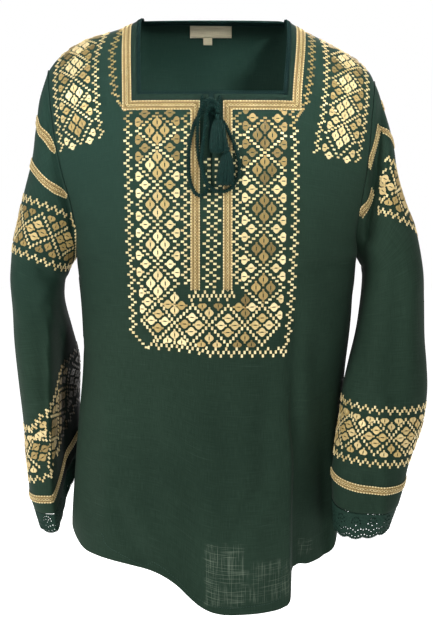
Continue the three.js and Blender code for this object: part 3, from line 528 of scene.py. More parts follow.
sleeves = {
    "roundness": 0.85, "tuckHigh": 2.6, "tuckLow": 1.8, "tuckSoftness": 0.2, "recess": 50 * mm,
    "wall": 1.0 * mm, "around": 112, "rowsPerRing": 11, "clothEnd": 15,
    "rippleDepth": 3.5 * mm, "rippleSizes": (0.05, 0.14), "seamTuck": 0.8 * mm,
    # outer x and z, inner x and z, middle, front and back reach, rise, tuck in thousandths
    "left": np.array([
        (-208, -92, -170, -287, 2, 61, 64, 0, 0), (-212, -128, -172, -290, 2, 61, 63, 0, 0),
        (-217, -162, -174, -293, 1, 61, 62, 0, 0), (-225, -198, -175, -297, 0, 60, 60, 0, 0),
        (-234, -234, -177, -303, -2, 59, 58, 0, 0), (-243, -270, -181, -312, -4, 57, 56, 0, 0),
        (-245, -308, -182, -332, -5, 54, 54, 0, 100), (-243, -348, -180, -352, -5, 51, 53, 0, 400),
        (-241, -386, -176, -372, -4, 48, 53, 0, 700), (-238, -424, -171, -392, -2, 46, 54, 0, 850),
        (-234, -462, -168, -411, 0, 45, 54, 0, 950), (-231, -497, -168, -430, 1, 44, 54, 0, 1000),
        (-228, -548, -168, -478, 2, 42, 53, 0, 1000), (-226, -574, -168, -503, 2, 41, 52, 0, 1000),
        (-221, -590, -168, -522, 2, 40, 50, -2, 1000), (-215, -606, -169, -547, 2, 38, 47, -10, 1000)]) * mm,
    "right": np.array([
        (203, -98, 177, -287, 2, 60, 63, 0, 0), (216, -147, 179, -291, 0, 60, 62, 0, 0),
        (220, -176, 181, -295, -3, 60, 61, 0, 0), (230, -212, 181, -300, -6, 60, 60, 0, 0),
        (243, -248, 181, -308, -10, 59, 58, 0, 0), (251, -290, 179, -325, -15, 58, 56, 0, 0),
        (252, -330, 175, -348, -22, 56, 54, 0, 0), (252, -372, 169, -378, -31, 53, 52, 0, 0),
        (255, -408, 161, -408, -41, 50, 50, 0, 0), (255, -438, 154, -436, -50, 47, 47, -2, 0),
        (250, -468, 151, -463, -56, 44, 45, -5, 0), (240, -498, 146, -491, -62, 42, 44, -8, 0),
        (231, -525, 142, -518, -67, 39, 43, -10, 0), (227, -541, 140, -533, -69, 38, 42, -11, 0),
        (219, -568, 141, -566, -72, 37, 41, -9, 0), (210, -592, 143, -598, -73, 34, 38, -11, 0)]) * mm,
    # deep creases that the solids have too: from x, z to x, z, half width, depth
    "deepCreases": {
        "left": [(-190, -84, -164, -255, 7, 13), (-183, -318, -205, -290, 8, 8),
                 (-162, -326, -172, -436, 8, 11), (-172, -420, -173, -556, 8, 11)],
        "right": [(201, -88, 184, -262, 6, 13), (199, -440, 199, -600, 9, -5)],
    },
    # from across, height to across, height, half width, depth, bow
    "frontCreases": {
        "left": [(-236, -292, -222, -360, 9, 3.0, 4), (-190, -285, -208, -340, 8, 3.6, -4),
                 (-226, -350, -214, -470, 12, 2.6, 5), (-206, -360, -203, -540, 8, -2.2, -3),
                 (-228, -500, -206, -586, 8, 2.0, 3), (-210, -120, -192, -200, 9, 2.0, 3)],
        "right": [(236, -296, 232, -420, 12, 3.2, 4), (214, -270, 212, -440, 11, -2.6, -5),
                  (194, -300, 190, -460, 12, 3.4, 4), (204, -120, 210, -230, 8, 2.2, -3),
                  (226, -440, 214, -560, 9, 2.2, 3), (176, -470, 168, -570, 10, 2.2, -3),
                  (184, -262, 214, -290, 9, 2.4, 3)],
    },
    "backCreases": {
        "left": [(-216, -130, -212, -280, 12, 3.0, 5), (-190, -240, -226, -300, 10, 3.4, 4),
                 (-226, -300, -220, -470, 12, 3.2, -5), (-196, -330, -190, -480, 11, 3.0, 4),
                 (-208, -420, -200, -560, 10, -2.6, 3)],
        "right": [(212, -140, 214, -280, 12, 3.0, -5), (188, -250, 228, -310, 10, 3.4, -4),
                  (232, -310, 230, -470, 12, 3.2, 5), (198, -330, 190, -490, 11, 3.0, -4),
                  (214, -420, 204, -560, 10, -2.6, 3)],
    },
}


def armholePoint(side, angle):
    share = (1 + np.cos(angle)) / 2
    edge = np.sqrt(np.maximum(0, 1 - (2 * share - 1) ** 2))
    tip = sideAt(side, np.array(1.0))
    y = np.where(angle >= 0, -torso["armholeFront"], torso["armholeBack"]) * edge
    return np.stack([sideAt(side, share), y, mix(torso["armpit"], shoulderHeight(tip), share)], axis=-1)


def ringPoint(rows, angle):
    s = sleeves
    rounded = lambda value: np.sign(value) * np.abs(value) ** s["roundness"]
    outerX, outerZ, innerX, innerZ, middle, front, back, rise, tuck = np.moveaxis(rows, -1, 0)
    tuck, isFront = tuck / mm / 1000, angle >= 0
    inward = (1 - rounded(np.cos(angle))) / 2
    edge = mix(s["tuckHigh"], s["tuckLow"], tuck ** 1.5)
    folded = ease(edge - s["tuckSoftness"], edge + s["tuckSoftness"], angle)
    edgeInward = (1 - rounded(np.cos(edge))) / 2
    beyond = np.clip((inward - edgeInward) / (1 - edgeInward), 0, 1)
    drop = np.where(isFront, mix(inward, folded * mix(0.5, 1, beyond), tuck), inward)
    recess = s["recess"] * tuck * np.where(isFront, folded, inward ** 2)
    y = middle - rounded(np.sin(angle)) * np.where(isFront, front, back) + recess
    return np.stack([mix(outerX, innerX, inward), y,
                     mix(outerZ, innerZ, drop) + rise * np.abs(np.sin(angle))], axis=-1)


def sleevePoint(side, ring, angle):
    ring, angle = np.broadcast_arrays(np.asarray(ring, float), np.asarray(angle, float))
    angle = np.arctan2(np.sin(angle), np.cos(angle))
    rows, last = sleeves[side], len(sleeves[side])
    start = np.clip(np.floor(ring).astype(int), 0, last - 1)
    t = (ring - start)[..., None]
    weights = (-t + 2 * t * t - t ** 3, 2 - 5 * t * t + 3 * t ** 3,
               t + 4 * t * t - 3 * t ** 3, t ** 3 - t * t)
    total = 0
    for step, weight in zip((-1, 0, 1, 2), weights):
        station = np.clip(start + step, 0, last)
        seam = armholePoint(side, angle)
        total = total + weight / 2 * np.where((station == 0)[..., None], seam,
                                              ringPoint(rows[np.maximum(station, 1) - 1], angle))
    share = np.sqrt(np.maximum(np.sin(angle), 0)) * ease(0, 0.5, ring)
    for fromX, fromZ, toX, toZ, width, deep in sleeves["deepCreases"][side]:
        wayX, wayZ, width = (toX - fromX) * mm, (toZ - fromZ) * mm, width * mm
        length = math.hypot(wayX, wayZ)
        awayX, awayZ = total[..., 0] - fromX * mm, total[..., 2] - fromZ * mm
        along, aside = (awayX * wayX + awayZ * wayZ) / length, (awayX * wayZ - awayZ * wayX) / length
        ends = ease(-width, 2 * width, along) * ease(length + width, length - 2 * width, along)
        total[..., 1] += share * deep * mm * ends * np.exp(-(aside / width) ** 2)
    return total


def sleeveCloth(side, finish):
    s = sleeves
    rings = np.linspace(0, s["clothEnd"], s["clothEnd"] * s["rowsPerRing"] + 1)
    angles = 2 * math.pi * np.arange(s["around"]) / s["around"]
    isFlipped = side == "left"
    points = sleevePoint(side, rings[:, None], angles[None, :])
    normals = gridNormals(points, looped=True, flipped=not isFlipped)
    fade = ease(0, 0.8, rings)[:, None] * np.ones_like(angles)
    ripple = clothFlow(points, 21 if isFlipped else 33, s["rippleSizes"]) * s["rippleDepth"] * fade
    points = points + normals * ripple[..., None]
    isFront = np.sin(angles)[None, :] > 0
    rim = (np.abs(np.sin(angles)) ** 0.5)[None, :]
    front = pressed(points, normals, s["frontCreases"][side])
    back = pressed(points, normals, s["backCreases"][side])
    creased = np.where(isFront[..., None], front, back)
    points = mix(points, creased, (fade * rim)[..., None])
    seam = np.exp(-(np.arange(len(rings)) / 1.5) ** 2)[:, None] * s["seamTuck"]
    points = points - normals * seam[..., None]
    faces = gridFaces(*points.shape[:2], looped=True, flipped=isFlipped)
    piece = newPiece("sleeveLeft" if isFlipped else "sleeveRight", points.reshape(-1, 3), faces, finish,
                     weaveOf(points).reshape(-1, 2))
    wallIn(piece, s["wall"])
    return piece


# Nodes, for materials and for Geometry Nodes alike

class Shade:
    # one socket of a node tree, so that sums on it read as sums
    def __init__(self, nodes, socket):
        self.nodes, self.socket = nodes, socket

    def also(self, name):
        return Shade(self.nodes, self.socket.node.outputs[name])

    def sum(self, operation, first, second):
        return self.nodes.node("ShaderNodeMath", {"operation": operation}, {0: first, 1: second})

    def __add__(self, other):
        return self.sum("ADD", self, other)

    def __radd__(self, other):
        return self.sum("ADD", other, self)

    def __sub__(self, other):
        return self.sum("SUBTRACT", self, other)

    def __mul__(self, other):
        return self.sum("MULTIPLY", self, other)


class Nodes:
    def __init__(self, tree):
        self.tree = tree
        tree.nodes.clear()

    def node(self, kind, settings=None, values=None):
        made = self.tree.nodes.new(kind)
        for name, value in (settings or {}).items():
            if name == "stops":
                ramp = made.color_ramp.elements
                while len(ramp) < len(value):
                    ramp.new(0.5)
                for stop, (place, colour) in zip(ramp, value):
                    stop.position, stop.color = place, (*colour, 1)
            else:
                setattr(made, name, value)
        for name, value in (values or {}).items():
            if isinstance(value, Shade):
                self.tree.links.new(value.socket, made.inputs[name])
            else:
                made.inputs[name].default_value = value
        return Shade(self, next((o for o in made.outputs if o.enabled), None)) if made.outputs else None


class Finish(Nodes):
    def __init__(self, name):
        self.material = bpy.data.materials.new(name)
        self.material.use_nodes = True
        super().__init__(self.material.node_tree)

    def weave(self):
        return self.node("ShaderNodeUVMap", {"uv_map": "weave"})

    def place(self):
        return self.node("ShaderNodeTexCoord").also("Object")

    def stretched(self, vector, scale):
        return self.node("ShaderNodeMapping", {}, {"Vector": vector, "Scale": scale})

    def noise(self, vector, detail, scale=1.0, roughness=0.5):
        return self.node("ShaderNodeTexNoise", {}, {"Vector": vector, "Scale": scale, "Detail": detail,
                                                    "Roughness": roughness})

    def wave(self, vector, scale, direction, wobble):
        return self.node("ShaderNodeTexWave", {"bands_direction": direction},
                         {"Vector": vector, "Scale": scale, "Distortion": wobble})

    def between(self, value, low, high):
        # 0 at low, 1 at high
        return self.node("ShaderNodeMapRange", {"interpolation_type": "SMOOTHSTEP"},
                         {"Value": value, "From Min": low, "From Max": high})

    def ramp(self, factor, stops):
        return self.node("ShaderNodeValToRGB", {"stops": stops}, {"Fac": factor})

    def attribute(self, name):
        return self.node("ShaderNodeAttribute", {"attribute_name": name}).also("Fac")

    def parts(self, vector):
        split = self.node("ShaderNodeSeparateXYZ", {}, {"Vector": vector})
        return split.also("X"), split.also("Y"), split.also("Z")

    def blend(self, factor, first, second):
        made = self.node("ShaderNodeMix", {"data_type": "RGBA"}, {0: factor})
        mixer = made.socket.node
        for name, value in (("A", first), ("B", second)):
            socket = next(i for i in mixer.inputs if i.name == name and i.type == "RGBA")
            if isinstance(value, Shade):
                self.tree.links.new(value.socket, socket)
            else:
                socket.default_value = (*value, 1)
        return Shade(self, next(o for o in mixer.outputs if o.type == "RGBA"))

    def surface(self, settings, height, bump, strength):
        relief = self.node("ShaderNodeBump", {}, {"Height": height, "Distance": bump, "Strength": strength})
        shader = self.node("ShaderNodeBsdfPrincipled", {}, {**settings, "Normal": relief})
        self.node("ShaderNodeOutputMaterial", {}, {"Surface": shader})
        return self.material


# Finishes

looks = {
    "cloth": {"dark": (0.0085, 0.0215, 0.0130), "light": (0.0165, 0.0360, 0.0230),
              # teal is painted light, laid on towards the top left
              "paintedLightTeal": (0.012, 0.044, 0.036), "slub": (0.040, 0.070, 0.050), "roughness": 0.78, "sheen": 0.02,
              # deep is painted shade for the fold on the inner side of the left forearm
              "bare": (0.105, 0.135, 0.100), "deep": (0.0022, 0.0048, 0.0036),
              # left, right, top, foot and strength of each thin place, where bare is painted light shining
              # through the weave
              "thinLitThrough": [(-0.009, 0.037, -0.612, -0.682, 0.55), (0.037, 0.043, -0.640, -0.676, 0.3),
                       (0.043, 0.090, -0.633, -0.678, 0.42), (0.102, 0.117, -0.618, -0.636, 0.4)]},
    # deep is the darkest thread; the stitches in the left forearm's fold reach it through painted shade
    "thread": {"deep": (0.024, 0.017, 0.006), "ochre": (0.225, 0.155, 0.048), "mid": (0.50, 0.355, 0.130),
               "pale": (0.88, 0.735, 0.41), "metal": 0.30, "roughness": 0.40},
    "braid": {"deep": (0.040, 0.023, 0.005), "gold": (0.30, 0.195, 0.055), "pale": (0.74, 0.58, 0.30)},
    "cord": {"dark": (0.0015, 0.0095, 0.0080), "light": (0.0060, 0.0330, 0.0265)},
    "lace": {"dark": (0.0055, 0.0185, 0.0125), "light": (0.0135, 0.0370, 0.0260)},
    "label": {"dark": (0.56, 0.50, 0.33), "light": (0.74, 0.67, 0.47)},
    "band": {"dark": (0.0055, 0.0175, 0.0120), "light": (0.0110, 0.0290, 0.0205)},
    "crochet": {"dark": (0.0018, 0.0095, 0.0085), "light": (0.0095, 0.036, 0.033)},
    "sewing": {"dark": (0.02, 0.045, 0.036), "light": (0.04, 0.075, 0.06)},
}


def clothFinish():
    f, look = Finish("greenCloth"), looks["cloth"]
    weave, place = f.weave(), f.place()
    warp = f.noise(f.stretched(weave, (1500, 60, 1)), detail=2, roughness=0.6)
    weft = f.noise(f.stretched(weave, (40, 1500, 1)), detail=2, roughness=0.6)
    threads = warp + weft
    slubs = f.between(f.noise(f.stretched(weave, (14, 420, 1)), detail=1), 0.68, 0.8)
    broad = f.noise(place, scale=7, detail=2)
    tone = f.between(threads * 0.5 + (broad - 0.5) * 0.3, 0.34, 0.68)
    colour = f.blend(tone, look["dark"], look["light"])
    colour = f.blend(slubs * 0.22, colour, look["slub"])
    across, away, height = f.parts(place)
    # painted light: paler and bluer towards the top and the left, where the key lamp stands
    paintedKeyLight = f.between(height - across * 0.5, -0.36, 0.0)
    colour = f.blend(paintedKeyLight * 0.42, colour, look["paintedLightTeal"])
    # places near the front hem where the weave is thinner and its threads show; their paleness is painted
    # light, as if light shone through the cloth
    blur = (f.noise(place, scale=60, detail=3) - 0.5) * 0.014
    threadWays = (f.stretched(weave, (900, 26, 1)), f.stretched(weave, (26, 900, 1)))
    hatch = sum(f.between(f.noise(way, detail=2), 0.52, 0.66) for way in threadWays)
    inside = lambda value, edge, soft: f.between(value, edge - soft, edge + soft)
    for left, right, top, foot, much in look["thinLitThrough"]:
        paintedLitPatch = inside(across + blur, left, 0.003) * inside(blur - across, -right, 0.003)
        paintedLitPatch = paintedLitPatch * inside(blur - height, -top, 0.004) * inside(height + blur, foot, 0.004)
        colour = f.blend(paintedLitPatch * f.between(away, -0.02, -0.03) * hatch * much, colour, look["bare"])
    # painted shade: the cloth in the left forearm's fold is darkened towards deep
    colour = f.blend(f.attribute("fold") * 0.88, colour, look["deep"])
    return f.surface({"Base Color": colour, "Roughness": look["roughness"], "Sheen Weight": look["sheen"],
                      "Sheen Roughness": 0.45, "Specular IOR Level": 0.1},
                     height=threads, bump=0.0003, strength=0.45)


def threadFinish():
    # satin stitches: the weave's first length runs along the threads
    f, look = Finish("goldThread"), looks["thread"]
    tone = f.attribute("tone")
    weave = f.weave()
    strands = f.noise(f.stretched(weave, (120, 2600, 1)), detail=2)
    colour = f.ramp(tone * 0.85 + 0.15 + (strands - 0.5) * 0.5,
                    [(0.0, look["deep"]), (0.2, look["ochre"]), (0.58, look["mid"]), (1.0, look["pale"])])
    return f.surface({"Base Color": colour, "Roughness": look["roughness"], "Metallic": look["metal"],
                      "Specular IOR Level": 0.5}, height=strands, bump=0.0003, strength=0.6)


def braidFinish():
    f, look = Finish("goldBraid"), looks["braid"]
    ribs = f.wave(f.weave(), 420, direction="DIAGONAL", wobble=1.5)
    worn = f.noise(f.stretched(f.weave(), (60, 900, 1)), detail=3)
    edge = f.between(f.attribute("edge"), 0.35, 0.8)
    body = f.ramp(worn * 0.6 + ribs * 0.35, [(0.25, look["deep"]), (0.62, look["gold"])])
    colour = f.blend(edge * 0.3, body, look["pale"])
    return f.surface({"Base Color": colour, "Roughness": 0.42, "Metallic": 0.35}, height=ribs + worn * 0.6,
                     bump=0.0004, strength=0.8)


def plainFinish(name, look, roughness, fine, gloss=0.12):
    # two tones of one colour, in threads as fine as fine says along and across the weave
    f, look = Finish(name), looks[look]
    twist = f.noise(f.stretched(f.weave(), (*fine, 1)), detail=3, roughness=0.6)
    colour = f.blend(f.between(twist, 0.32, 0.68), look["dark"], look["light"])
    return f.surface({"Base Color": colour, "Roughness": roughness, "Specular IOR Level": gloss},
                     height=twist, bump=0.0004, strength=0.8)


greenCloth = clothFinish()
goldThread = threadFinish()
goldBraid = braidFinish()
greenBand = plainFinish("greenBand", "band", 0.75, (1200, 160))
greenCord = plainFinish("greenCord", "cord", 0.55, (300, 2200))
greenCrochet = plainFinish("greenCrochet", "crochet", 0.7, (900, 900))
greenLace = plainFinish("greenLace", "lace", 0.75, (700, 700))
labelSatin = plainFinish("labelSatin", "label", 0.38, (60, 2400), gloss=0.45)
greenSewing = plainFinish("greenSewing", "sewing", 0.6, (900, 200))


# Cloth

frontCloth, backCloth = panelCloth(True, greenCloth), panelCloth(False, greenCloth)
sleeveLeft, sleeveRight = sleeveCloth("left", greenCloth), sleeveCloth("right", greenCloth)
print("cloth made")


class Face:
    # the outer face of a piece of cloth, to lay trims and stitches on
    def __init__(self, piece):
        mesh = piece.data
        self.corners = [tuple(polygon.vertices) for polygon in mesh.polygons]
        self.points = np.array([vertex.co for vertex in mesh.vertices])
        self.normals = np.array([vertex.normal for vertex in mesh.vertices])
        self.tree = BVHTree.FromPolygons([tuple(p) for p in self.points], self.corners)

    def smooth(self, place, index):
        corners = list(self.corners[index])
        weights = 1 / (np.linalg.norm(self.points[corners] - np.array(place), axis=1) ** 2 + 1e-10)
        return np.array(place), unit((self.normals[corners] * weights[:, None]).sum(axis=0))

    def near(self, point):
        place, _, index, _ = self.tree.find_nearest(Vector(point))
        return self.smooth(place, index)

    def facing(self, across, height, way=1):
        start = Vector((across, -0.6 * way, height))
        place, _, index, _ = self.tree.ray_cast(start, Vector((0, way, 0)), 0.7)
        return self.smooth(place, index) if place else None

    def behind(self, across, height):
        return self.facing(across, height, way=-1)


frontFace, backFace = Face(frontCloth), Face(backCloth)
sleeveFaces = {"left": Face(sleeveLeft), "right": Face(sleeveRight)}


# Painted shade: the fold on the inner side of the left forearm is painted darker, and so are the stitches in
# it

paintedShadeFold = {"edge": Curve([(-560, -190), (-545, -190), (-478, -191), (-395, -186), (-318, -168)]),
          "reach": 5 * mm, "top": (-318 * mm, -345 * mm)}


def paintedShadeShare(point, normal):
    inside = ease(0, paintedShadeFold["reach"], point[..., 0] - paintedShadeFold["edge"](point[..., 2]))
    return inside * ease(*paintedShadeFold["top"], point[..., 2]) * ease(0.4, 0.0, normal[..., 1])


def paintFoldShade(piece, face):
    shaded = piece.data.attributes.new("fold", "FLOAT", "POINT")
    shaded.data.foreach_set("value", paintedShadeShare(face.points, face.normals).astype(np.float32))


paintFoldShade(sleeveLeft, sleeveFaces["left"])


# Repeats by Geometry Nodes: shapes set on points that carry their own way up, size and tone

def shapeBox(shapes, isSmooth=True):
    box = bpy.data.collections.new("shapes")
    for number, (name, points, faces) in enumerate(shapes):
        # a petal's threads run across its slit
        way = (1, 0) if "Petal" in name else (0, 1)
        shape = newPiece(f"shape{number}{name}", points, faces, weave=np.asarray(points)[:, way[::-1]])
        shape.data.polygons.foreach_set("use_smooth", np.full(len(shape.data.polygons), isSmooth))
        scene.collection.objects.unlink(shape)
        box.objects.link(shape)
    return box


def repeatTree():
    tree = bpy.data.node_groups.new("setShapes", "GeometryNodeTree")
    nodes = Nodes(tree)
    wanted = {"Points": "Geometry", "Shapes": "Collection", "Finish": "Material", "Unevenness": "Float",
              "Seed": "Int"}
    for name, kind in wanted.items():
        tree.interface.new_socket(name, in_out="INPUT", socket_type="NodeSocket" + kind)
    tree.interface.new_socket("Set", in_out="OUTPUT", socket_type="NodeSocketGeometry")
    given = nodes.node("NodeGroupInput")
    read = lambda name, kind="FLOAT_VECTOR": nodes.node("GeometryNodeInputNamedAttribute",
                                                        {"data_type": kind},
                                                        {"Name": name})
    box = nodes.node("GeometryNodeCollectionInfo", {}, {
        "Collection": given.also("Shapes"), "Separate Children": True, "Reset Children": True})
    turned = nodes.node("FunctionNodeAxesToRotation", {"primary_axis": "Z", "secondary_axis": "X"},
                        {"Primary Axis": read("up"), "Secondary Axis": read("along")})
    chance = nodes.node("FunctionNodeRandomValue", {"data_type": "FLOAT"},
                        {2: -1.0, 3: 1.0, "Seed": given.also("Seed")})
    lean = chance * given.also("Unevenness")
    askew = nodes.node("FunctionNodeRotateRotation", {"rotation_space": "LOCAL"},
                       {"Rotation": turned, "Rotate By": nodes.node("FunctionNodeAxisAngleToRotation", {},
                                                                    {"Axis": (0, 0, 1), "Angle": lean})})
    placed = nodes.node("GeometryNodeInstanceOnPoints", {}, {
        "Points": given.also("Points"), "Instance": box, "Pick Instance": True,
        "Instance Index": read("kind", "INT"), "Rotation": askew, "Scale": read("size")})
    real = nodes.node("GeometryNodeRealizeInstances", {}, {"Geometry": placed})
    done = nodes.node("GeometryNodeSetMaterial", {}, {"Geometry": real, "Material": given.also("Finish")})
    nodes.node("NodeGroupOutput", {}, {"Set": done})
    return tree


setShapes = repeatTree()


class Places:
    def __init__(self):
        self.rows = []

    def add(self, place, up, along, kind, size, tone=0.5):
        self.rows.append((tuple(place), tuple(up), tuple(along), kind, tuple(size), tone))


def repeated(name, places, shapes, finish, seed, unevenness=0.0):
    mesh = bpy.data.meshes.new(name)
    rows = places.rows
    mesh.from_pydata([row[0] for row in rows], [], [])
    columns = (("up", "FLOAT_VECTOR", "vector"), ("along", "FLOAT_VECTOR", "vector"),
               ("kind", "INT", "value"), ("size", "FLOAT_VECTOR", "vector"), ("tone", "FLOAT", "value"))
    for column, (title, kind, field) in enumerate(columns, 1):
        layer = mesh.attributes.new(title, kind, "POINT")
        whole = np.int32 if kind == "INT" else np.float32
        layer.data.foreach_set(field, np.array([row[column] for row in rows], whole).ravel())
    holder = bpy.data.objects.new(name + "Places", mesh)
    scene.collection.objects.link(holder)
    work = holder.modifiers.new("set", "NODES")
    work.node_group = setShapes
    given = {item.name: item.identifier for item in setShapes.interface.items_tree if item.in_out == "INPUT"}
    for title, value in (("Shapes", shapes), ("Finish", finish), ("Unevenness", unevenness), ("Seed", seed)):
        work[given[title]] = value
    graph = bpy.context.evaluated_depsgraph_get()
    made = bpy.data.meshes.new_from_object(holder.evaluated_get(graph), preserve_all_data_layers=True,
                                           depsgraph=graph)
    holder.modifiers.remove(work)
    bpy.data.objects.remove(holder)
    piece = bpy.data.objects.new(name, made)
    made.name = name
    scene.collection.objects.link(piece)
    return piece


# Stitch shapes, in metres: the first length of each runs along its own line

def pad(outline, height, inset=0.93):
    sunk = 0.15  # how far the foot goes into the cloth
    outline = np.array(outline, float) * mm
    middle = (outline.min(axis=0) + outline.max(axis=0)) / 2
    count = len(outline)
    rings = [(outline, -sunk), (middle + (outline - middle) * inset, height)]
    points = np.vstack([np.column_stack([ring, np.full(count, z * mm)]) for ring, z in rings])
    faces = [tuple(face) for face in gridFaces(2, count, looped=True)]
    return points, faces + [tuple(range(count, 2 * count)), tuple(range(count))[::-1]]


def box(halfLength, halfWidth):
    return [(x * halfLength, y * halfWidth) for x, y in ((-1, -1), (1, -1), (1, 1), (-1, 1))]


def mirrored(outline):
    return [(x, -y) for x, y in outline[::-1]]


petalHalf = [(-5.3, 0.03), (-2.7, 0.1), (-1.6, 0.62), (1.6, 0.62), (2.7, 0.1), (5.3, 0.03), (5.3, 1.9),
             (4.2, 1.9), (4.2, 3.4), (3.0, 3.4), (3.0, 4.6), (1.6, 4.6), (1.6, 5.5), (-1.6, 5.5),
             (-1.6, 4.6), (-3.0, 4.6), (-3.0, 3.4), (-4.2, 3.4), (-4.2, 1.9), (-5.3, 1.9)]
cutHalf = [(-3.6, 0.03), (-2.4, 0.1), (-1.5, 0.58), (1.2, 0.58), (2.2, 0.1), (3.7, 0.03), (3.7, 1.9),
           (2.9, 1.9), (2.9, 3.4), (2.0, 3.4), (2.0, 4.6), (0.9, 4.6), (0.9, 5.5), (-1.9, 5.5), (-1.9, 4.6),
           (-2.8, 4.6), (-2.8, 3.6), (-3.6, 3.6)]
tip = [(5.3, -1.15), (7.8, -1.15), (7.8, 1.15), (5.3, 1.15)]
cutTip = [(3.7, -1.15), (6.0, -1.15), (6.0, 1.15), (3.7, 1.15)]
farTip = [(-x, -y) for x, y in tip]
stitchShapes = shapeBox([
    ("Block", *pad(box(2.0, 1.22), 0.5, inset=0.86)),
    ("Petal", *joined([pad(part, 0.6) for part in (petalHalf, mirrored(petalHalf), tip, farTip)])),
    ("CutPetal", *joined([pad(part, 0.6) for part in (cutHalf, mirrored(cutHalf), cutTip)])),
], isSmooth=False)
block, petal, cutPetal = 0, 1, 2


# Tassels and tie cords

tassels = {
    "left": {"across": 0.0054, "top": -0.117, "bottom": -0.159, "halfWidth": 0.0105, "halfDepth": 0.0040,
             "standOff": 0.0112, "turn": 0.04},
    "right": {"across": 0.0162, "top": -0.152, "bottom": -0.195, "halfWidth": 0.0098, "halfDepth": 0.0038,
              "standOff": 0.0096, "turn": -0.08},
    "strands": 90, "thread": 0.00062, "head": 0.0031,
    # share of the way down, share of the full reach
    "skirt": [(0.13, 0.30), (0.22, 0.50), (0.36, 0.72), (0.6, 0.88), (0.82, 1.0), (1.0, 0.86)],
    "binding": [(0, 0.5), (0.02, 0.85), (0.05, 1), (0.085, 0.97), (0.115, 0.72), (0.125, 0.6), (0.17, 0.6),
                (0.18, 0.75), (0.2, 0.9)],
}


def tassel(side):
    t, rng = tassels[side], np.random.default_rng(4 if side == "left" else 7)
    long = t["top"] - t["bottom"]
    down, reach = np.array(tassels["skirt"]).T
    parts = []

    def place(share, aside, out):
        across = t["across"] + aside + t["turn"] * share * long
        return inFront(across, t["top"] - share * long, t["standOff"] + out)

    for i in range(tassels["strands"]):
        angle = 2 * math.pi * (i + rng.uniform(0, 0.9)) / tassels["strands"]
        away = math.sqrt(rng.uniform(0.2, 1))
        ends, wave = rng.uniform(0.93, 1.02), rng.uniform(-0.5, 0.5, 2) * mm
        shares = np.linspace(0.13, ends, 9)
        spread = np.interp(shares, down, reach) * away
        line = [place(share, t["halfWidth"] * k * math.cos(angle) + wave[0] * share,
                      t["halfDepth"] * k * math.sin(angle) + wave[1] * share)
                for share, k in zip(shares, spread)]
        parts.append(tube(np.array(line), np.full(9, tassels["thread"]), 5))
    shares = np.linspace(0, 0.2, 60)
    bound = np.interp(shares, *np.array(tassels["binding"]).T)
    thick = tassels["head"] * bound * (1 + 0.05 * np.sin(shares * long / (0.55 * mm) * 2 * math.pi))
    parts.append(tube(np.array([place(share, 0, 0) for share in shares]), thick, 18))
    points, faces = joined(parts)
    piece = newPiece("tassel" + side.title(), points, faces, greenCord, weave=points[:, [2, 0]])
    fit(piece, "cord", "tassel_" + side)
    return piece


def tieCord(side):
    c = cords
    line = np.array([inFront(*point) for point in c[side]])
    line = smoothLine(line, c["step"])
    length = len(line) * c["step"]
    along = np.linspace(0, length, len(line))
    parts = []
    for strand in range(c["strands"]):
        phase = 2 * math.pi * (along / c["turn"] + strand / c["strands"])
        radius = np.full(len(line), c["strandRadius"] * c["thickness"])
        parts.append(tube(line, radius, c["sides"], phase, c["strandOffset"] * c["thickness"]))
    points, faces = joined(parts)
    ring = len(line) * c["sides"]
    weave = np.zeros((len(points), 2))
    for strand in range(c["strands"]):
        start = strand * (ring + 2)
        alongRing = np.repeat(along, c["sides"])
        aroundRing = np.tile(np.arange(c["sides"]) * c["threadPitch"], len(line))
        weave[start:start + ring, 0] = alongRing
        weave[start:start + ring, 1] = aroundRing + alongRing * c["threadSlant"]
    piece = newPiece("tieCord" + side.title(), points, faces, greenCord, weave=weave)
    fit(piece, "cord", "tie_cord_" + side)
    float(np.linalg.norm(np.diff(line, axis=0), axis=1).sum())
    tassel(side)


for side in ("left", "right"):
    tieCord(side)
print("cords and tassels made")


# Flat trims

def slab(name, points, normals, under, over, finish, closed=False, weave=None):
    # a closed strip that stands from under to over above a grid of places
    rows, columns = points.shape[:2]
    count = rows * columns
    lift = lambda height: points + normals * np.broadcast_to(height, (rows, columns))[..., None]
    shell = np.concatenate([lift(over).reshape(-1, 3), lift(under).reshape(-1, 3)])
    index = np.arange(count).reshape(rows, columns)
    index = np.vstack([index, index[:1]]) if closed else index
    quads = np.stack([index[:-1, :-1], index[:-1, 1:], index[1:, 1:], index[1:, :-1]], axis=-1).reshape(-1, 4)
    faces = [*quads, *(quads[:, ::-1] + count)]
    for rim in [index[:, 0], index[::-1, -1]] + ([] if closed else [index[0, ::-1], index[-1]]):
        faces += [(b, a, a + count, b + count) for a, b in zip(rim, rim[1:])]
    if weave is None:
        weave = weaveOf(points)
    piece = newPiece(name, shell, faces, finish, weave=np.tile(weave.reshape(-1, 2), (2, 1)))
    outward(piece)
    return piece


def outward(piece):
    work = bmesh.new()
    work.from_mesh(piece.data)
    bmesh.ops.recalc_face_normals(work, faces=work.faces[:])
    work.to_mesh(piece.data)
    work.free()


def laid(face, points):
    found = [face.near(point) for point in points.reshape(-1, 3)]
    return (np.array([place for place, _ in found]).reshape(points.shape),
            np.array([normal for _, normal in found]).reshape(points.shape))


def follow(places, face, line, pitch, kind, size=(1, 1, 1), tone=0.5, lift=0.0, rng=None, turn=0.0):
    # one shape after another along a line on the cloth
    line = evenly(line, pitch)
    ways = unit(np.gradient(line, axis=0))
    for point, way in zip(line, ways):
        place, normal = face.near(point)
        way = way * math.cos(turn) + np.cross(normal, way) * math.sin(turn)
        uneven = rng.uniform(-0.12, 0.12) if rng else 0
        places.add(place + normal * lift, normal, way, kind, size, tone + uneven)


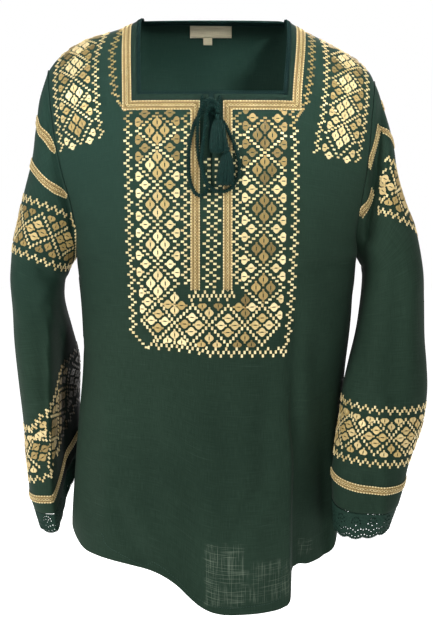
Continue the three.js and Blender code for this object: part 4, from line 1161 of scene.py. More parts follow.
def loop(halfLength, halfWidth, thread):
    around, sides = 8, 3
    turns = 2 * math.pi * np.arange(around) / around
    centre = np.stack([halfLength * np.cos(turns), halfWidth * np.sin(turns), np.zeros(around)], axis=-1)
    out = unit(centre * (1 / halfLength, 1 / halfWidth, 0))
    section = 2 * math.pi * (np.arange(sides) + 0.5) / sides
    points = centre[:, None] + thread * (out[:, None] * np.cos(section)[None, :, None]
                                         + np.array([0, 0, 1.0]) * np.sin(section)[None, :, None])
    quads = gridFaces(around + 1, sides, looped=True) % (around * sides)
    return points.reshape(-1, 3) * mm, [tuple(face) for face in quads]


def mound(halfLength, halfWidth, height):
    around, rings = 6, [(1, -0.1), (0.86, 0.6 * height), (0.45, height)]
    turns = 2 * math.pi * np.arange(around) / around
    points = [(k * halfLength * math.cos(turn), k * halfWidth * math.sin(turn), z)
              for k, z in rings for turn in turns]
    faces = [tuple(face) for face in gridFaces(3, around, looped=True)]
    return np.array(points) * mm, faces + [tuple(range(2 * around, 3 * around)), tuple(range(around))[::-1]]


trimShapes = shapeBox([("Bead", *mound(1.38, 0.8, 0.6)), ("Link", *loop(2.15, 1.15, 0.42)),
                       ("Stitch", *mound(1.15, 0.22, 0.24)), ("Picot", *loop(1.2, 1.0, 0.46)),
                       ("Eyelet", *loop(0.86, 0.86, 0.27)), ("Cross", *mound(1.5, 0.4, 0.4))])
bead, link, stitch, picot, eyelet, cross = range(6)

braid = {
    "width": 10.5 * mm, "cuffWidth": 9 * mm, "under": 0.04 * mm, "step": 1.6 * mm, "leastSheet": 10 * mm,
    # pitch, height over the cloth and tone of what is sewn along it
    "beads": (3.4 * mm, 0.62 * mm, 0.9), "links": (3.95 * mm, 0.85 * mm, 0.85),
    "ribs": (2.1 * mm, 0.95 * mm, 0.25),
    "ribTurn": 0.9, "places": 241, "halvings": 22, "lastRing": 6.0, "cuffRing": 14.0, "sleeveStart": 0.12,
    "folds": {("right", "upper"): (-127 * mm, 202 * mm), ("right", "middle"): (-203 * mm, 200 * mm)},
    # share across, height over the cloth
    "profile": [(0, 0.45), (0.025, 0.8), (0.11, 0.85), (0.15, 0.6), (0.2, 0.95), (0.3, 1.05), (0.38, 0.7),
                (0.5, 0.75), (0.62, 0.7), (0.7, 1.05), (0.8, 0.95), (0.85, 0.6), (0.89, 0.85), (0.975, 0.8),
                (1, 0.45)],
    # each stop is a place across at the foot and at the shoulder, and a height: the edge nearer the neck,
    # then the one away from it
    "frontLeft": ([(-93.5, -96.5, 2.96), (-93.5, -96.5, -98.5), (-15, -15, -98.5), (-15, -15, -313)],
                  [(-104, -107, 2.96), (-104, -107, -109), (-25.5, -25.5, -109), (-25.5, -25.5, -313)]),
    "frontRight": ([(91, 98.5, 2.96), (91, 98.5, -98.5), (11.5, 11.5, -98.5), (11.5, 11.5, -313)],
                   [(101.5, 109, 2.96), (101.5, 109, -109), (22, 22, -109), (22, 22, -313)]),
    "back": ([(-93.5, -96.5, 2.96), (-93.5, -96.5, -9.3), (91, 98.5, -9.3), (91, 98.5, 2.96)],
             [(-104, -107, 2.96), (-104, -107, -12.8), (101.5, 109, -12.8), (101.5, 109, 2.96)]),
    "routes": {
        "left": {"upper": Curve([(-214, -116), (-208, -120), (-203, -131), (-195, -140), (-187, -152),
                                 (-172, -168)]),
                 "middle": Curve([(-224, -160), (-219, -167), (-207, -180), (-195, -193), (-175, -206),
                                  (-158, -216)])},
        "right": {"upper": Curve([(172, -200), (181, -177), (191, -146), (196, -122), (205, -94)]),
                  "middle": Curve([(168, -240), (174, -229), (188, -205), (194, -160), (198, -134),
                                   (205, -135), (210, -141), (218, -150), (226, -160)])},
    },
}


def panelPlace(isFront, low, high, height, top=None):
    share = shareAt(height)
    hem = torso["frontHem" if isFront else "backHem"](low)
    share = np.where(share < 0, -(torso["armpit"] - height) / (torso["armpit"] - hem), share)
    top = shoulderHeight(high) if top is None else top
    return bodyPoint(isFront, mix(low, high, ease(0.6, 1, share)), top, share)


def edgeLines(isFront, stops, step):
    # both edges of a strip that turns corners, with as many places on the one as on the other
    near, away = (np.array(edge, float) * mm for edge in stops)
    top = lambda edge: mix(torso["top"], shoulderHeight(edge[:, 1]),
                           ease(panels["neckHeight"] * mm, 2 * mm, edge[:, 2]))
    near, away = (np.column_stack([edge, top(edge)]) for edge in (near, away))
    rows = [[], []]
    for i in range(len(near) - 1):
        count = max(2, round(np.linalg.norm((near[i + 1] - near[i])[[0, 2]]) / step))
        shares = np.arange(count + (i == len(near) - 2)) / count
        for edge, line in zip((near, away), rows):
            line += [mix(edge[i], edge[i + 1], share) for share in shares]
    return [np.array([panelPlace(isFront, *row) for row in line]) for line in rows]


def sewnBraid(name, face, near, away, nodes, closed=False):
    b = braid
    shares, heights = np.array(b["profile"]).T
    points = near[:, None] + (away - near)[:, None] * shares[None, :, None]
    points, normals = laid(face, points)
    length = np.concatenate([[0], np.cumsum(np.linalg.norm(np.diff(points[:, 7], axis=0), axis=1))])
    width = np.quantile(np.linalg.norm(points[:, -1] - points[:, 0], axis=-1), 0.2)
    weave = np.stack(np.broadcast_arrays(length[:, None], shares * width), axis=-1)
    tape = slab(name, points, normals, b["under"], heights * mm, goldBraid, closed, weave)
    edge = tape.data.attributes.new("edge", "FLOAT", "POINT")
    edge.data.foreach_set("value", np.tile(np.abs(2 * shares - 1), 2 * len(points)))
    places, rng = Places(), np.random.default_rng(len(name))

    def sewn(line, row, kind, turn=0.0):
        pitch, lift, tone = b[row]
        follow(places, face, line, pitch, kind, tone=tone, lift=lift, rng=rng, turn=turn)

    for edgeColumn, inner in ((0, 2), (-1, -3)):
        sewn(mix(points[:, edgeColumn], points[:, inner], 0.5), "beads", bead)
    sewn(points[:, 7], "links", link)
    for column, turn in ((4, b["ribTurn"]), (-6, -b["ribTurn"])):
        sewn(mix(points[:, column], points[:, column + 1], 0.5), "ribs", cross, turn)
    beads = repeated(name + "Beads", places, trimShapes, goldThread, seed=3, unevenness=0.12)
    fit(tape, "braid", *nodes)
    fit(beads, "braid")
    # the cuff tapes are too narrow to count as sheets
    if not closed:  # only the open tapes get a mean width, from their area over their length
        along, aside = np.diff(points, axis=0)[:, :-1], np.diff(points, axis=1)[:-1]
        area = np.linalg.norm(np.cross(along, aside), axis=-1).sum()
        across = max(float(area / length[-1]), b["leastSheet"])


def sleeveBraid(side, name, course=None, nodes=None):
    b, face = braid, sleeveFaces[side]
    angles = np.linspace(-math.pi, math.pi, b["places"])
    if name == "cuff":
        ring, angles = np.full(b["places"] - 1, b["cuffRing"]), angles[:-1]
    else:
        # the ring at which the sleeve crosses the route's height, found by halving
        route, low, high = b["routes"][side][name], np.zeros(b["places"]), np.full(b["places"], b["lastRing"])
        for _ in range(b["halvings"]):
            middle = (low + high) / 2
            point = sleevePoint(side, middle, angles)
            isAbove = point[:, 2] > route(point[:, 0])
            low, high = np.where(isAbove, middle, low), np.where(isAbove, high, middle)
        kept = low > b["sleeveStart"]
        ring, angles = low[kept], angles[kept]
    if nodes is None:
        nodes = [f"braid_{name}_{side}"]
        fold = b["folds"].get((side, name))
        if fold:
            place = sleevePoint(side, ring, angles)
            inner = (place[:, 2] < fold[0]) & (place[:, 0] < fold[1]) & (place[:, 1] < 0)
            outer = (place[:, 0] > fold[1]) | (place[:, 1] > 0)
            sleeveBraid(side, name, (ring[inner], angles[inner]), nodes=[])
            ring, angles = ring[outer], angles[outer]
    else:
        ring, angles = course
    down = unit(sleevePoint(side, ring + 0.05, angles) - sleevePoint(side, ring - 0.05, angles))
    centre, half = sleevePoint(side, ring, angles), (b["cuffWidth"] if name == "cuff" else b["width"]) / 2
    count = max(8, round(np.linalg.norm(np.diff(centre, axis=0), axis=1).sum() / b["step"]))
    at = np.linspace(0, len(centre) - 1, count)
    read = lambda rows: np.stack([np.interp(at, np.arange(len(rows)), rows[:, k]) for k in range(3)], axis=1)
    centre, down = read(centre), unit(read(down))
    sewnBraid(f"braid{name.title()}{side.title()}" + ("" if nodes else "Inner"), face, centre - down * half,
              centre + down * half, nodes, closed=name == "cuff")


for name, key, face in (("braid_front_left", "frontLeft", frontFace),
                        ("braid_front_right", "frontRight", frontFace), ("braid_back", "back", backFace)):
    lines = edgeLines(face is frontFace, braid[key], braid["step"])
    sewnBraid("braid" + key[0].upper() + key[1:], face, *lines, [name])
for side in ("left", "right"):
    for name in ("upper", "middle", "cuff"):
        sleeveBraid(side, name)
print("braids made")


# Neck band: a facing turned over the edge, between the braid and the crochet

neckBand = {
    "profile": [(0, 0.15), (0.05, 0.5), (0.5, 0.42), (0.93, 0.5), (1, 0.2)],
    "frontLeft": ([(-86, -89, 2.96), (-86, -89, -91), (-4.6, -4.6, -91)],
                  [(-93.7, -96.7, 2.96), (-93.7, -96.7, -98.7), (-4.0, -4.0, -98.7)]),
    "frontRight": ([(83.5, 91, 2.96), (83.5, 91, -91), (0.8, 0.8, -91)],
                   [(91.2, 98.7, 2.96), (91.2, 98.7, -98.7), (0.6, 0.6, -98.7)]),
}


def neckFacing(side):
    inner, outer = edgeLines(True, neckBand["front" + side], 2.4 * mm)
    shares, heights = np.array(neckBand["profile"]).T
    points, normals = laid(frontFace, inner[:, None] + (outer - inner)[:, None] * shares[None, :, None])
    piece = slab("neckBand" + side, points, normals, 0.05 * mm, heights * mm, greenBand)
    fit(piece, "cloth")


neckFacing("Left")
neckFacing("Right")


# Crochet round the neck

crochet = {
    "pitch": 2.0 * mm, "sunk": 0.4 * mm,
    # how far in from the edge, shape and size
    "rows": [(0.2, link, (0.7, 0.9, 2.2)), (1.3, picot, (0.95, 1.0, 1.6)), (2.6, picot, (1.05, 1.2, 1.6))],
    "frontLeft": [(-86, -89, 2.96), (-86, -89, -91), (-5.4, -5.4, -91), (-4.2, -4.2, -146)],
    "frontRight": [(83.5, 91, 2.96), (83.5, 91, -91), (1.6, 1.6, -91), (0.6, 0.6, -146)],
    "back": [(-86, -89, 2.96), (-86, -89, -8.4), (83.5, 91, -8.4), (83.5, 91, 2.96)],
}


def neckCrochet(name, isFront, stops, inward, node):
    places = Places()
    for aside, kind, size in crochet["rows"]:
        moved = []
        for (low, high, height), (wayX, wayZ) in zip(stops, inward):
            moved.append((low + aside * wayX, high + aside * wayX, height + aside * wayZ))
        edge, _ = edgeLines(isFront, (moved, moved), 2 * mm)
        line = evenly(edge, crochet["pitch"])
        ways = unit(np.gradient(line, axis=0))
        for point, way in zip(line, ways):
            across, share = point[0], shareAt(np.clip(point[2], -200 * mm, 2 * mm))
            normal = bodyNormal(isFront, across, share)
            places.add(point - normal * crochet["sunk"], normal, way, kind, size)
    piece = repeated(name, places, trimShapes, greenCrochet, seed=6, unevenness=0.2)
    fit(piece, "crochet", node)


neckCrochet("crochetFrontLeft", True, crochet["frontLeft"], [(1, 0), (1, 1), (1, 1), (1, 0)],
            "crochet_front_left")
neckCrochet("crochetFrontRight", True, crochet["frontRight"], [(-1, 0), (-1, 1), (-1, 1), (-1, 0)],
            "crochet_front_right")
neckCrochet("crochetBack", False, crochet["back"], [(1, 0), (1, 1), (-1, 1), (-1, 0)], "crochet_back")
print("crochet made")


# Cuff lace: a strip of cloth pierced by bound eyelets, with a scalloped edge

lace = {
    "motif": 19.5, "depth": 27.5, "step": 0.62, "wall": 0.8 * mm, "hole": 0.72,
    "firstRing": 15.03, "middleRing": 15.5, "lastRing": 16.0, "places": 721,
    "scallop": 4.2, "scallopPower": 0.7, "picotPitch": 2.5 * mm,
    # corners no farther than this from a hole's edge are pulled onto it, but never its middle one
    "pull": 0.36, "middle": 0.15,
    # share of the motif across, depth below the cuff
    "eyelets": [(0.24, 9.4), (0.28, 6.4), (0.39, 4.3), (0.5, 3.6), (0.61, 4.3), (0.72, 6.4), (0.76, 9.4),
                (0.42, 8.3), (0.58, 8.3), (0.5, 11.2), (0.0, 15.6), (0.17, 14.6), (0.34, 15.8), (0.5, 17.8),
                (0.66, 15.8), (0.83, 14.6), (0.1, 20.6), (0.9, 20.6), (0.28, 22.6), (0.5, 23.4),
                (0.72, 22.6)],
}


def cuffLace(side):
    l = lace
    angles = np.linspace(-math.pi, math.pi, l["places"])
    around = sleevePoint(side, l["middleRing"], angles)
    length = np.concatenate([[0], np.cumsum(np.linalg.norm(np.diff(around, axis=0), axis=1))]) / mm
    motifs = round(length[-1] / l["motif"])
    motif = length[-1] / motifs
    columns, rows = round(length[-1] / l["step"]), round(l["depth"] / l["step"])
    across = np.broadcast_to(np.arange(columns) * length[-1] / columns, (rows + 1, columns)).copy()
    arch = np.abs(np.sin(math.pi * across / motif)) ** l["scallopPower"]
    foot = l["depth"] - l["scallop"] * (1 - arch)
    down = foot * (np.arange(rows + 1) / rows)[:, None]
    kept = np.ones((rows, columns), bool)
    holes = [((k + share) * motif, depth) for k in range(motifs) for share, depth in l["eyelets"]]
    for centre, depth in holes:
        awayX = (across - centre + length[-1] / 2) % length[-1] - length[-1] / 2
        awayZ = down - depth
        away = np.hypot(awayX, awayZ)
        middleX, middleZ = awayX + l["step"] / 2, awayZ + l["step"] / 2
        kept &= ~(np.hypot(middleX, middleZ) < l["hole"])[:-1]
        snapped = (away > l["middle"]) & (np.abs(away - l["hole"]) < l["pull"])
        pull = np.where(snapped, l["hole"] / np.maximum(away, 0.01) - 1, 0)
        across, down = across + awayX * pull, down + awayZ * pull

    def place(acrossAt, downAt):
        ring = mix(l["firstRing"], l["lastRing"], downAt / l["depth"])
        return sleevePoint(side, ring, np.interp(acrossAt % length[-1], length, angles))

    points = place(across, down)
    isFlipped = side == "left"
    faces = gridFaces(rows + 1, columns, kept=kept, looped=True, flipped=isFlipped)
    piece = newPiece("cuffLace" + side.title(), points.reshape(-1, 3), faces, greenLace,
                     weave=np.stack([across, down], axis=-1).reshape(-1, 2) * mm)
    wallIn(piece, l["wall"])
    places, face = Places(), Face(piece)
    for centre, depth in holes:
        spot = place(np.array(centre), np.array(depth))
        places.add(spot, face.near(spot)[1], (0, 0, 1), eyelet, (1, 1, 1))
    edge = place(across[-1], down[-1])
    follow(places, face, np.vstack([edge, edge[:1]]), l["picotPitch"], picot, (0.8, 0.8, 0.9))
    threads = repeated("cuffEyelets" + side.title(), places, trimShapes, greenLace, seed=8)
    fit(piece, "lace", "cuff_lace_" + side)
    fit(threads, "lace")


cuffLace("left")
cuffLace("right")
print("lace made")


# Label and size tab inside the back neck, both bare

labels = {
    "wall": 0.8 * mm, "under": 1.6 * mm,
    # middle across, width, height at the foot and at the top
    "neckLabel": (-3, 52, -19.6, -9.3), "sizeTab": (-7, 11, -25.6, -19.4),
}


def sewnLabel(name, node):
    middle, width, low, high = (value * mm for value in labels[name])
    across = middle + np.linspace(-0.5, 0.5, 41) * width
    heights = np.linspace(low, high, 13)
    points = np.array([[panelPlace(False, x, x, z) for x in across] for z in heights])
    normals = -gridNormals(points)
    normals *= np.sign(-normals[..., 1:2])
    rim = np.minimum(np.minimum(across - across[0], across[-1] - across)[None, :],
                     np.minimum(heights - low, high - heights)[:, None])
    # thinner at the very edge, and drawn in by the row of stitches beside it
    turned, drawnIn = ease(0, 1.2 * mm, rim), np.exp(-((rim - 1.4 * mm) / (0.4 * mm)) ** 2)
    puff = labels["under"] + labels["wall"] * (0.6 + 0.4 * turned - 0.25 * drawnIn)
    piece = slab(name, points, normals, labels["under"] * 0.9, puff, labelSatin)
    fit(piece, "label", node)
    tall = float(np.linalg.norm(np.diff(points[:, 20], axis=0), axis=-1).sum())


sewnLabel("neckLabel", "label")
sewnLabel("sizeTab", "size_tab")
print("labels made")


# Counted embroidery. Satin stitches stand on counted threads: blocks step to and fro in chains of diamonds
# and in zigzags, with slit petals inside them. Tones run from 0 (ochre) to 1 (pale).

embroidery = {
    "rows": 6, "sideStep": 4.0 * mm, "lift": 0.1 * mm, "unevenness": 0.05, "toneSpread": 0.16,
    # the tone that painted shade pulls the stitches in the left forearm's fold towards
    "foldTone": -0.25,
    # a stitch is left out if it lies farther than this past the cloth's edge, or from the cloth in any way
    "pastEdge": 2.5 * mm, "offCloth": 14 * mm, "smoothing": 12 * mm,
    "petal": {"ends": 9.2 * mm, "sides": 8.7 * mm, "notch": 14.6 * mm, "foot": (9.6 * mm, 22.4 * mm)},
}
ochre, peach, pale = 0.16, 0.56, 0.9


class Chart:
    def __init__(self, face, seed):
        self.face, self.places, self.rng, self.fold = face, Places(), np.random.default_rng(seed), None

    def onto(self, point):
        # the nearest place on the cloth, its normal, and how far off and past the cloth's edge the point is
        place, normal = self.face.near(point)
        away = np.array(point) - place
        return place, normal, np.linalg.norm(away), np.linalg.norm(away - normal * (away @ normal))

    def stitch(self, spot, way, kind, size, tone):
        place, normal, off, past = self.onto(spot)
        if past > embroidery["pastEdge"] or off > embroidery["offCloth"]:
            return
        if self.fold and place[1] < 0 and place[0] < self.fold(place[2]):
            return  # hidden in a fold
        # painted shade: stitches in the left forearm's fold are darkened
        if self.face is sleeveFaces["left"]:
            tone = mix(tone, embroidery["foldTone"], paintedShadeShare(place, normal))
        spread = embroidery["toneSpread"] * self.rng.uniform(-1, 1)
        self.places.add(place + normal * embroidery["lift"], normal, way, kind, (*size, 1),
                        float(np.clip(tone + spread, embroidery["foldTone"], 1)))

    def snap(self, point):
        # onto the cloth, unless the cloth ends before it
        place, _, _, past = self.onto(point)
        return place if past < embroidery["pastEdge"] else point

    def spot(self, x, z):
        return self.face.facing(x * mm, z * mm)[0]

    def frames(self, line):
        # along and aside at each place of a line on the cloth
        ways = unit(np.gradient(line, axis=0))
        normals = np.array([self.face.near(point)[1] for point in line])
        reach = round(embroidery["smoothing"] / np.linalg.norm(np.diff(line, axis=0), axis=1).mean())
        nearby = [normals[max(0, i - reach):i + reach + 1].sum(axis=0) for i in range(len(line))]
        normals = unit(np.array(nearby))
        ways = unit(ways - normals * (ways * normals).sum(axis=1)[:, None])
        return ways, np.cross(ways, normals)

    def chain(self, line, tones, size, sides=(-1, 1), blockSize=(1, 1), stop=None, slanted=False):
        # the line's places are apex and diamond centre by turns; each has its petals' tone and its blocks'.
        # Four petal tones go ahead, aside, behind and on the other side.
        e, rows, p = embroidery, embroidery["rows"], embroidery["petal"]
        line = np.array(line)
        ways, asides = self.frames(line)
        along, across = size
        for i, here in enumerate(line[:stop]):
            petalTones = tones[i][0] if isinstance(tones[i][0], tuple) else (tones[i][0],) * 4
            way, aside, isDiamond = ways[i], asides[i], i % 2 == 1
            after = min(i + 1, len(line) - 1)
            if isDiamond:
                spots = ((p["ends"], 0), (0, p["sides"]), (-p["ends"], 0), (0, -p["sides"]))
                for (u, v), tone in zip(spots, petalTones):
                    self.stitch(here + way * u * along + aside * v * across, way, petal,
                                (0.98 * along, across), tone)
            for side in () if isDiamond else sides:
                self.stitch(here + aside * side * p["notch"] * across, aside, petal,
                            (0.82 * across, 0.95 * along), petalTones[side])
                for end in (1,) if slanted and i == 0 else (-1, 1):
                    foot = way * end * p["foot"][0] * along + aside * side * p["foot"][1] * across
                    self.stitch(here + foot, -side * aside, cutPetal, (across, along), petalTones[2])
            for k in range(rows if after > i else 1):
                steps = rows - k if isDiamond else k
                middle = mix(here, line[after], k / rows)
                for side in (-1, 1) if steps else (1,):
                    self.stitch(middle + aside * side * steps * e["sideStep"] * across, aside, block,
                                blockSize, mix(tones[i][1], tones[after][1], k / rows))

    def zigzag(self, line, tone, pitch=3.19 * mm, step=3.4 * mm, offsets=(-1, 0, 1, 0), size=(0.95, 1)):
        # blocks across a line, stepping from side to side
        line = evenly(np.array(line), pitch)
        _, asides = self.frames(line)
        for i, (point, aside) in enumerate(zip(line, asides)):
            self.stitch(point + aside * offsets[i % len(offsets)] * step, aside, block, size,
                        tone(point) if callable(tone) else tone)

    def run(self, first, last, count, way, size, tone):
        for share in np.linspace(0, 1, count):
            self.stitch(mix(np.array(first), np.array(last), share), way, block, size, tone)

    def piece(self, name):
        made = repeated(name, self.places, stitchShapes, goldThread, seed=11,
                        unevenness=embroidery["unevenness"])
        fit(made, "embroidery")
        print(name, len(self.places.rows), "stitches,", len(made.data.polygons), "faces")


upright, level = np.array([0, 0, 1.0]), np.array([1.0, 0, 0])

frontChart = {
    "firstApex": 19.6, "toneBand": (-138 * mm, -112 * mm),
    # middle across at the top and the foot, diamond centres' heights, last apex, petal tones of the diamonds
    # and of the notches
    "columns": [
        ((-63.6, -62.9), (-132.5, -171.6, -216.4, -262.1, -306.6), -327.8,
         (peach - 0.1, (peach - 0.1, pale, peach - 0.1, peach - 0.1), peach + 0.15, pale, pale),
         (ochre, ochre, (peach, pale, pale, peach), pale, pale)),
        ((59.4, 57.4), (-138, -177.3, -221.1, -266.8, -311.3), -332,
         (ochre, ochre, ochre + 0.08, ochre, ochre + 0.12), (ochre, ochre, pale, pale, pale)),
    ],
    # the chain that runs level under the braids: apexes and diamond centres by turns
    "level": [(-82, -349.7), (-63, -349.7), (-44.1, -351.6), (-24.5, -353.5), (-4.4, -354), (17.1, -354.6),
              (36.5, -354.6), (56.4, -354.6), (76, -354.6)],
    "levelTones": [peach + 0.15, (pale, peach, pale, peach), peach + 0.15, (peach, pale, peach, pale), peach,
                   (peach + 0.1, peach, pale, peach), ochre, (pale, peach, peach, peach + 0.1), ochre],
    # single petals: kind, across, height, the way its slit (or its tip) points, tone
    "petals": [
        (petal, -43.9, -322.9, upright, pale), (petal, -43.9, -337.3, upright, pale),
        (petal, -51.8, -330.4, level, peach), (petal, -35.9, -331.6, level, peach),
        (petal, 37.1, -325.5, upright, ochre), (petal, 37.1, -340.6, upright, ochre),
        (petal, 29.3, -333.6, level, peach), (petal, 44.8, -333.6, level, pale),
        (petal, -4.4, -340.2, upright, peach), (petal, -44, -365.6, upright, pale),
        (petal, -4.4, -369.4, upright, peach), (petal, 36.6, -369, upright, ochre),
        (cutPetal, -12.3, -332.3, -upright, peach), (cutPetal, 6, -332.3, -upright, ochre),
        (cutPetal, -52.1, -372, upright, pale), (cutPetal, -35.9, -373.9, upright, pale),
        (cutPetal, -13.6, -376.4, upright, peach), (cutPetal, 4.7, -377, upright, peach),
        (cutPetal, 27.8, -377, upright, ochre), (cutPetal, 44, -377, upright, ochre),
        (petal, -75, -327.8, level, pale), (cutPetal, -81.9, -318, level, pale),
        (cutPetal, -81, -336.5, level, pale), (petal, 70, -334, level, pale),
        (cutPetal, 77.9, -324.5, -level, pale), (cutPetal, 76.6, -343.3, -level, pale),
    ],
    "zigzags": [
        [(-97.2, -112.6), (-97.2, -135), (-96, -235), (-95.4, -270), (-93.5, -310), (-92.6, -330),
         (-92, -364)],
        [(91, -108), (94.3, -170), (94.3, -233), (90.6, -311), (88, -352), (86.6, -372)],
        [(-31.2, -113), (-31.2, -306)], [(27.2, -113), (27.2, -306)],
    ],
    "foot": [(-74, -377), (-42, -379), (-18, -382), (-5, -386), (84, -386)],
}


def stitchFront():
    c = Chart(frontFace, 2)
    byHeight = lambda z: mix(pale, ochre, float(ease(*frontChart["toneBand"], z)))
    for (top, foot), heights, last, diamondTones, notchTones in frontChart["columns"]:
        spots = [heights[0] + frontChart["firstApex"]]
        for a, b in zip(heights, [*heights[1:], 2 * last - heights[-1]]):
            spots += [a, (a + b) / 2]
        line = [c.spot(mix(top, foot, i / 10), z) for i, z in enumerate(spots)]
        tones = [((diamondTones if i % 2 else notchTones)[min(i // 2, 4)], byHeight(z * mm))
                 for i, z in enumerate(spots)]
        c.chain(line, tones, size=(1, 0.985), stop=-1)
    line = [c.spot(*spot) for spot in frontChart["level"]]
    c.chain(line, [(tone, pale) for tone in frontChart["levelTones"]], size=(0.872, 0.95), sides=(),
            blockSize=(1.04, 1.08))
    for kind, x, z, way, tone in frontChart["petals"]:
        c.stitch(c.spot(x, z), way, kind, (0.86, 0.93), tone)
    for line in frontChart["zigzags"]:
        c.zigzag([c.spot(*spot) for spot in line], lambda point: byHeight(point[2]))
    # the rows that run level: under the braids and along the foot
    under = [c.spot(x, -320.4 - (0.6 if abs(x) > 20 else 0)) for x in range(-27, 25, 3)]
    c.zigzag(under, pale, 2.56 * mm, 4.3 * mm, (0, 1, 0, -1))
    foot = [c.spot(*spot) for spot in frontChart["foot"]]
    c.zigzag(foot, pale, 3.0 * mm, 4.1 * mm, (1, 0, -1, 0), (1, 1.05))
    c.run(c.spot(-92, -364.5), c.spot(-77, -381), 5, level, (0.9, 1), pale)
    c.run(c.spot(79, -384), c.spot(87, -374), 4, level, (0.9, 1), pale)
    # the lattice between the braids, on both sides of the slit
    for k in range(-16, 48):
        z, offset = -204.7 - 3.3 * (k - 13), (0, 1, 2, 1)[k % 4]
        middle = mix(-0.3, -2.6, np.clip((-z - 205) / 107, 0, 1))
        isOpen = z > panels["slitEnd"] - 1
        for side in (-1, 1) if offset else (1,):
            if -311 < z < -159 and not (isOpen and offset == 0):
                c.stitch(c.spot(middle + side * offset * 4.2, z), level, block, (0.95, 1), byHeight(z * mm))
    c.piece("stitchesFront")


stitchFront()

shoulderChart = {
    # centres of the strip from its foot over the shoulder: across, depth and height
    "left": [(-152, -80, -147), (-157, -77, -126), (-159, -72, -107), (-161, -67, -90), (-162, -58, -71),
             (-162, -49, -57), (-160, -38, -43), (-156, -28, -34), (-153, -12, -27)],
    "right": [(144, -86, -163), (147, -82, -140), (152, -77, -124), (153, -72, -108), (156, -64, -91),
              (157, -57, -77), (158, -46, -61), (157, -34, -50), (154, -14, -40)],
    "backStep": 18.5 * mm, "backPlaces": 6, "size": (0.82, 0.84), "edge": 28.5 * mm,
    # a short run of blocks in front of each
    "runs": {"left": ((-110, -92, -98), (-101, -96, -109)), "right": ((103, -93, -108), (97, -98, -116))},
    # beside the neck: across, depth and height
    "neckLeft": [(-106, -2, -9), (-110, -30, -15), (-115, -47, -29), (-118, -58, -41), (-117, -70, -57),
                 (-115, -80, -74), (-112, -88, -94)],
    "neckRight": [(113, -2, -16), (115, -21, -21), (115, -52, -38), (115, -65, -53), (112, -78, -74),
                  (108, -87, -93), (106, -91, -104)],
}


def stitchShoulders():
    sc = shoulderChart
    for face, name in ((frontFace, "stitchesShoulder"), (backFace, "stitchesBackShoulder")):
        c = Chart(face, 5)
        for side, firstTone, sideTone in (("left", ochre + 0.2, pale), ("right", pale, pale - 0.1)):
            # on over the shoulder: the same path mirrored, with places as far apart as on the front
            line = np.array(sc[side]) * mm
            path = np.vstack([line[-1:], (line * (1, -1, 1))[::-1]])
            along = np.concatenate([[0], np.cumsum(np.linalg.norm(np.diff(path, axis=0), axis=1))])
            at = sc["backStep"] * np.arange(1, sc["backPlaces"] + 1)
            line = np.vstack([line, np.stack([np.interp(at, along, path[:, k]) for k in range(3)], axis=1)])
            line = np.array([c.snap(point) for point in line])
            later = lambda i: pale if i % 2 else mix(sideTone, ochre, min(1, i / 6))
            petalTone = lambda i: firstTone if i == 1 else later(i)
            tones = [(petalTone(i), mix(pale, peach, min(1, i / 12))) for i in range(len(line))]
            c.chain(line, tones, size=sc["size"], blockSize=(0.86, 0.86), slanted=True)
            _, asides = c.frames(line)
            for aside in (-sc["edge"], sc["edge"]):
                edge = [c.snap(point + across * aside) for point, across in zip(line, asides)]
                c.zigzag(edge, pale - 0.12, 2.75 * mm, 2.9 * mm, size=(0.8, 0.86))
            if face is frontFace:
                row = [face.near(point)[0] for point in np.array(sc["neck" + side.title()]) * mm]
                c.zigzag(row, ochre + 0.12, 2.9 * mm, 3.2 * mm, size=(0.9, 0.95))
                first, last = np.array(sc["runs"][side]) * mm
                c.run(first, last, 5, level, (0.9, 0.95), ochre + 0.1)
        c.piece(name)


stitchShoulders()

sleeveChart = {
    "repeat": 40 * mm, "size": (0.89, 0.87), "edge": 31 * mm, "places": 400,
    # upper bands: a diamond's centre, then on to the outer side, across and height on the front and the same
    # behind; lower bands: their ring on the outer side and where the sleeve is folded in
    "left": {"front": [(-176, -262), (-211, -247)], "outer": (-242, -233), "rings": (12.45, 11.9),
             "turn": 0.0, "tones": (ochre + 0.04, pale - 0.2), "upperTones": (peach, ochre + 0.1)},
    "right": {"front": [(200, -195), (219, -205)], "outer": (238, -219), "rings": (11.5, 11.5), "turn": 0.5,
              "tones": (peach + 0.05, pale - 0.3), "upperTones": (peach, ochre + 0.12),
              "fold": [(-280, 186), (-258, 190), (-200, 197), (-150, 203)]},
}


def evenSpots(line, half, through):
    # apexes and diamond centres by turns, with a diamond's centre at the place that the line goes through
    along = np.concatenate([[0], np.cumsum(np.linalg.norm(np.diff(line, axis=0), axis=1))])
    middle = along[np.argmin(np.linalg.norm(line - through, axis=1))]
    first = middle - half * (2 * math.ceil((middle / half - 1) / 2) + 1)
    at = np.arange(first, along[-1] + half, half)
    at = at[at >= -2 * half]
    spots = np.stack([np.interp(at, along, line[:, k]) for k in range(3)], axis=1)
    before, after = unit(line[0] - line[1]), unit(line[-1] - line[-2])
    spots += before * np.maximum(0, -at)[:, None] + after * np.maximum(0, at - along[-1])[:, None]
    return spots


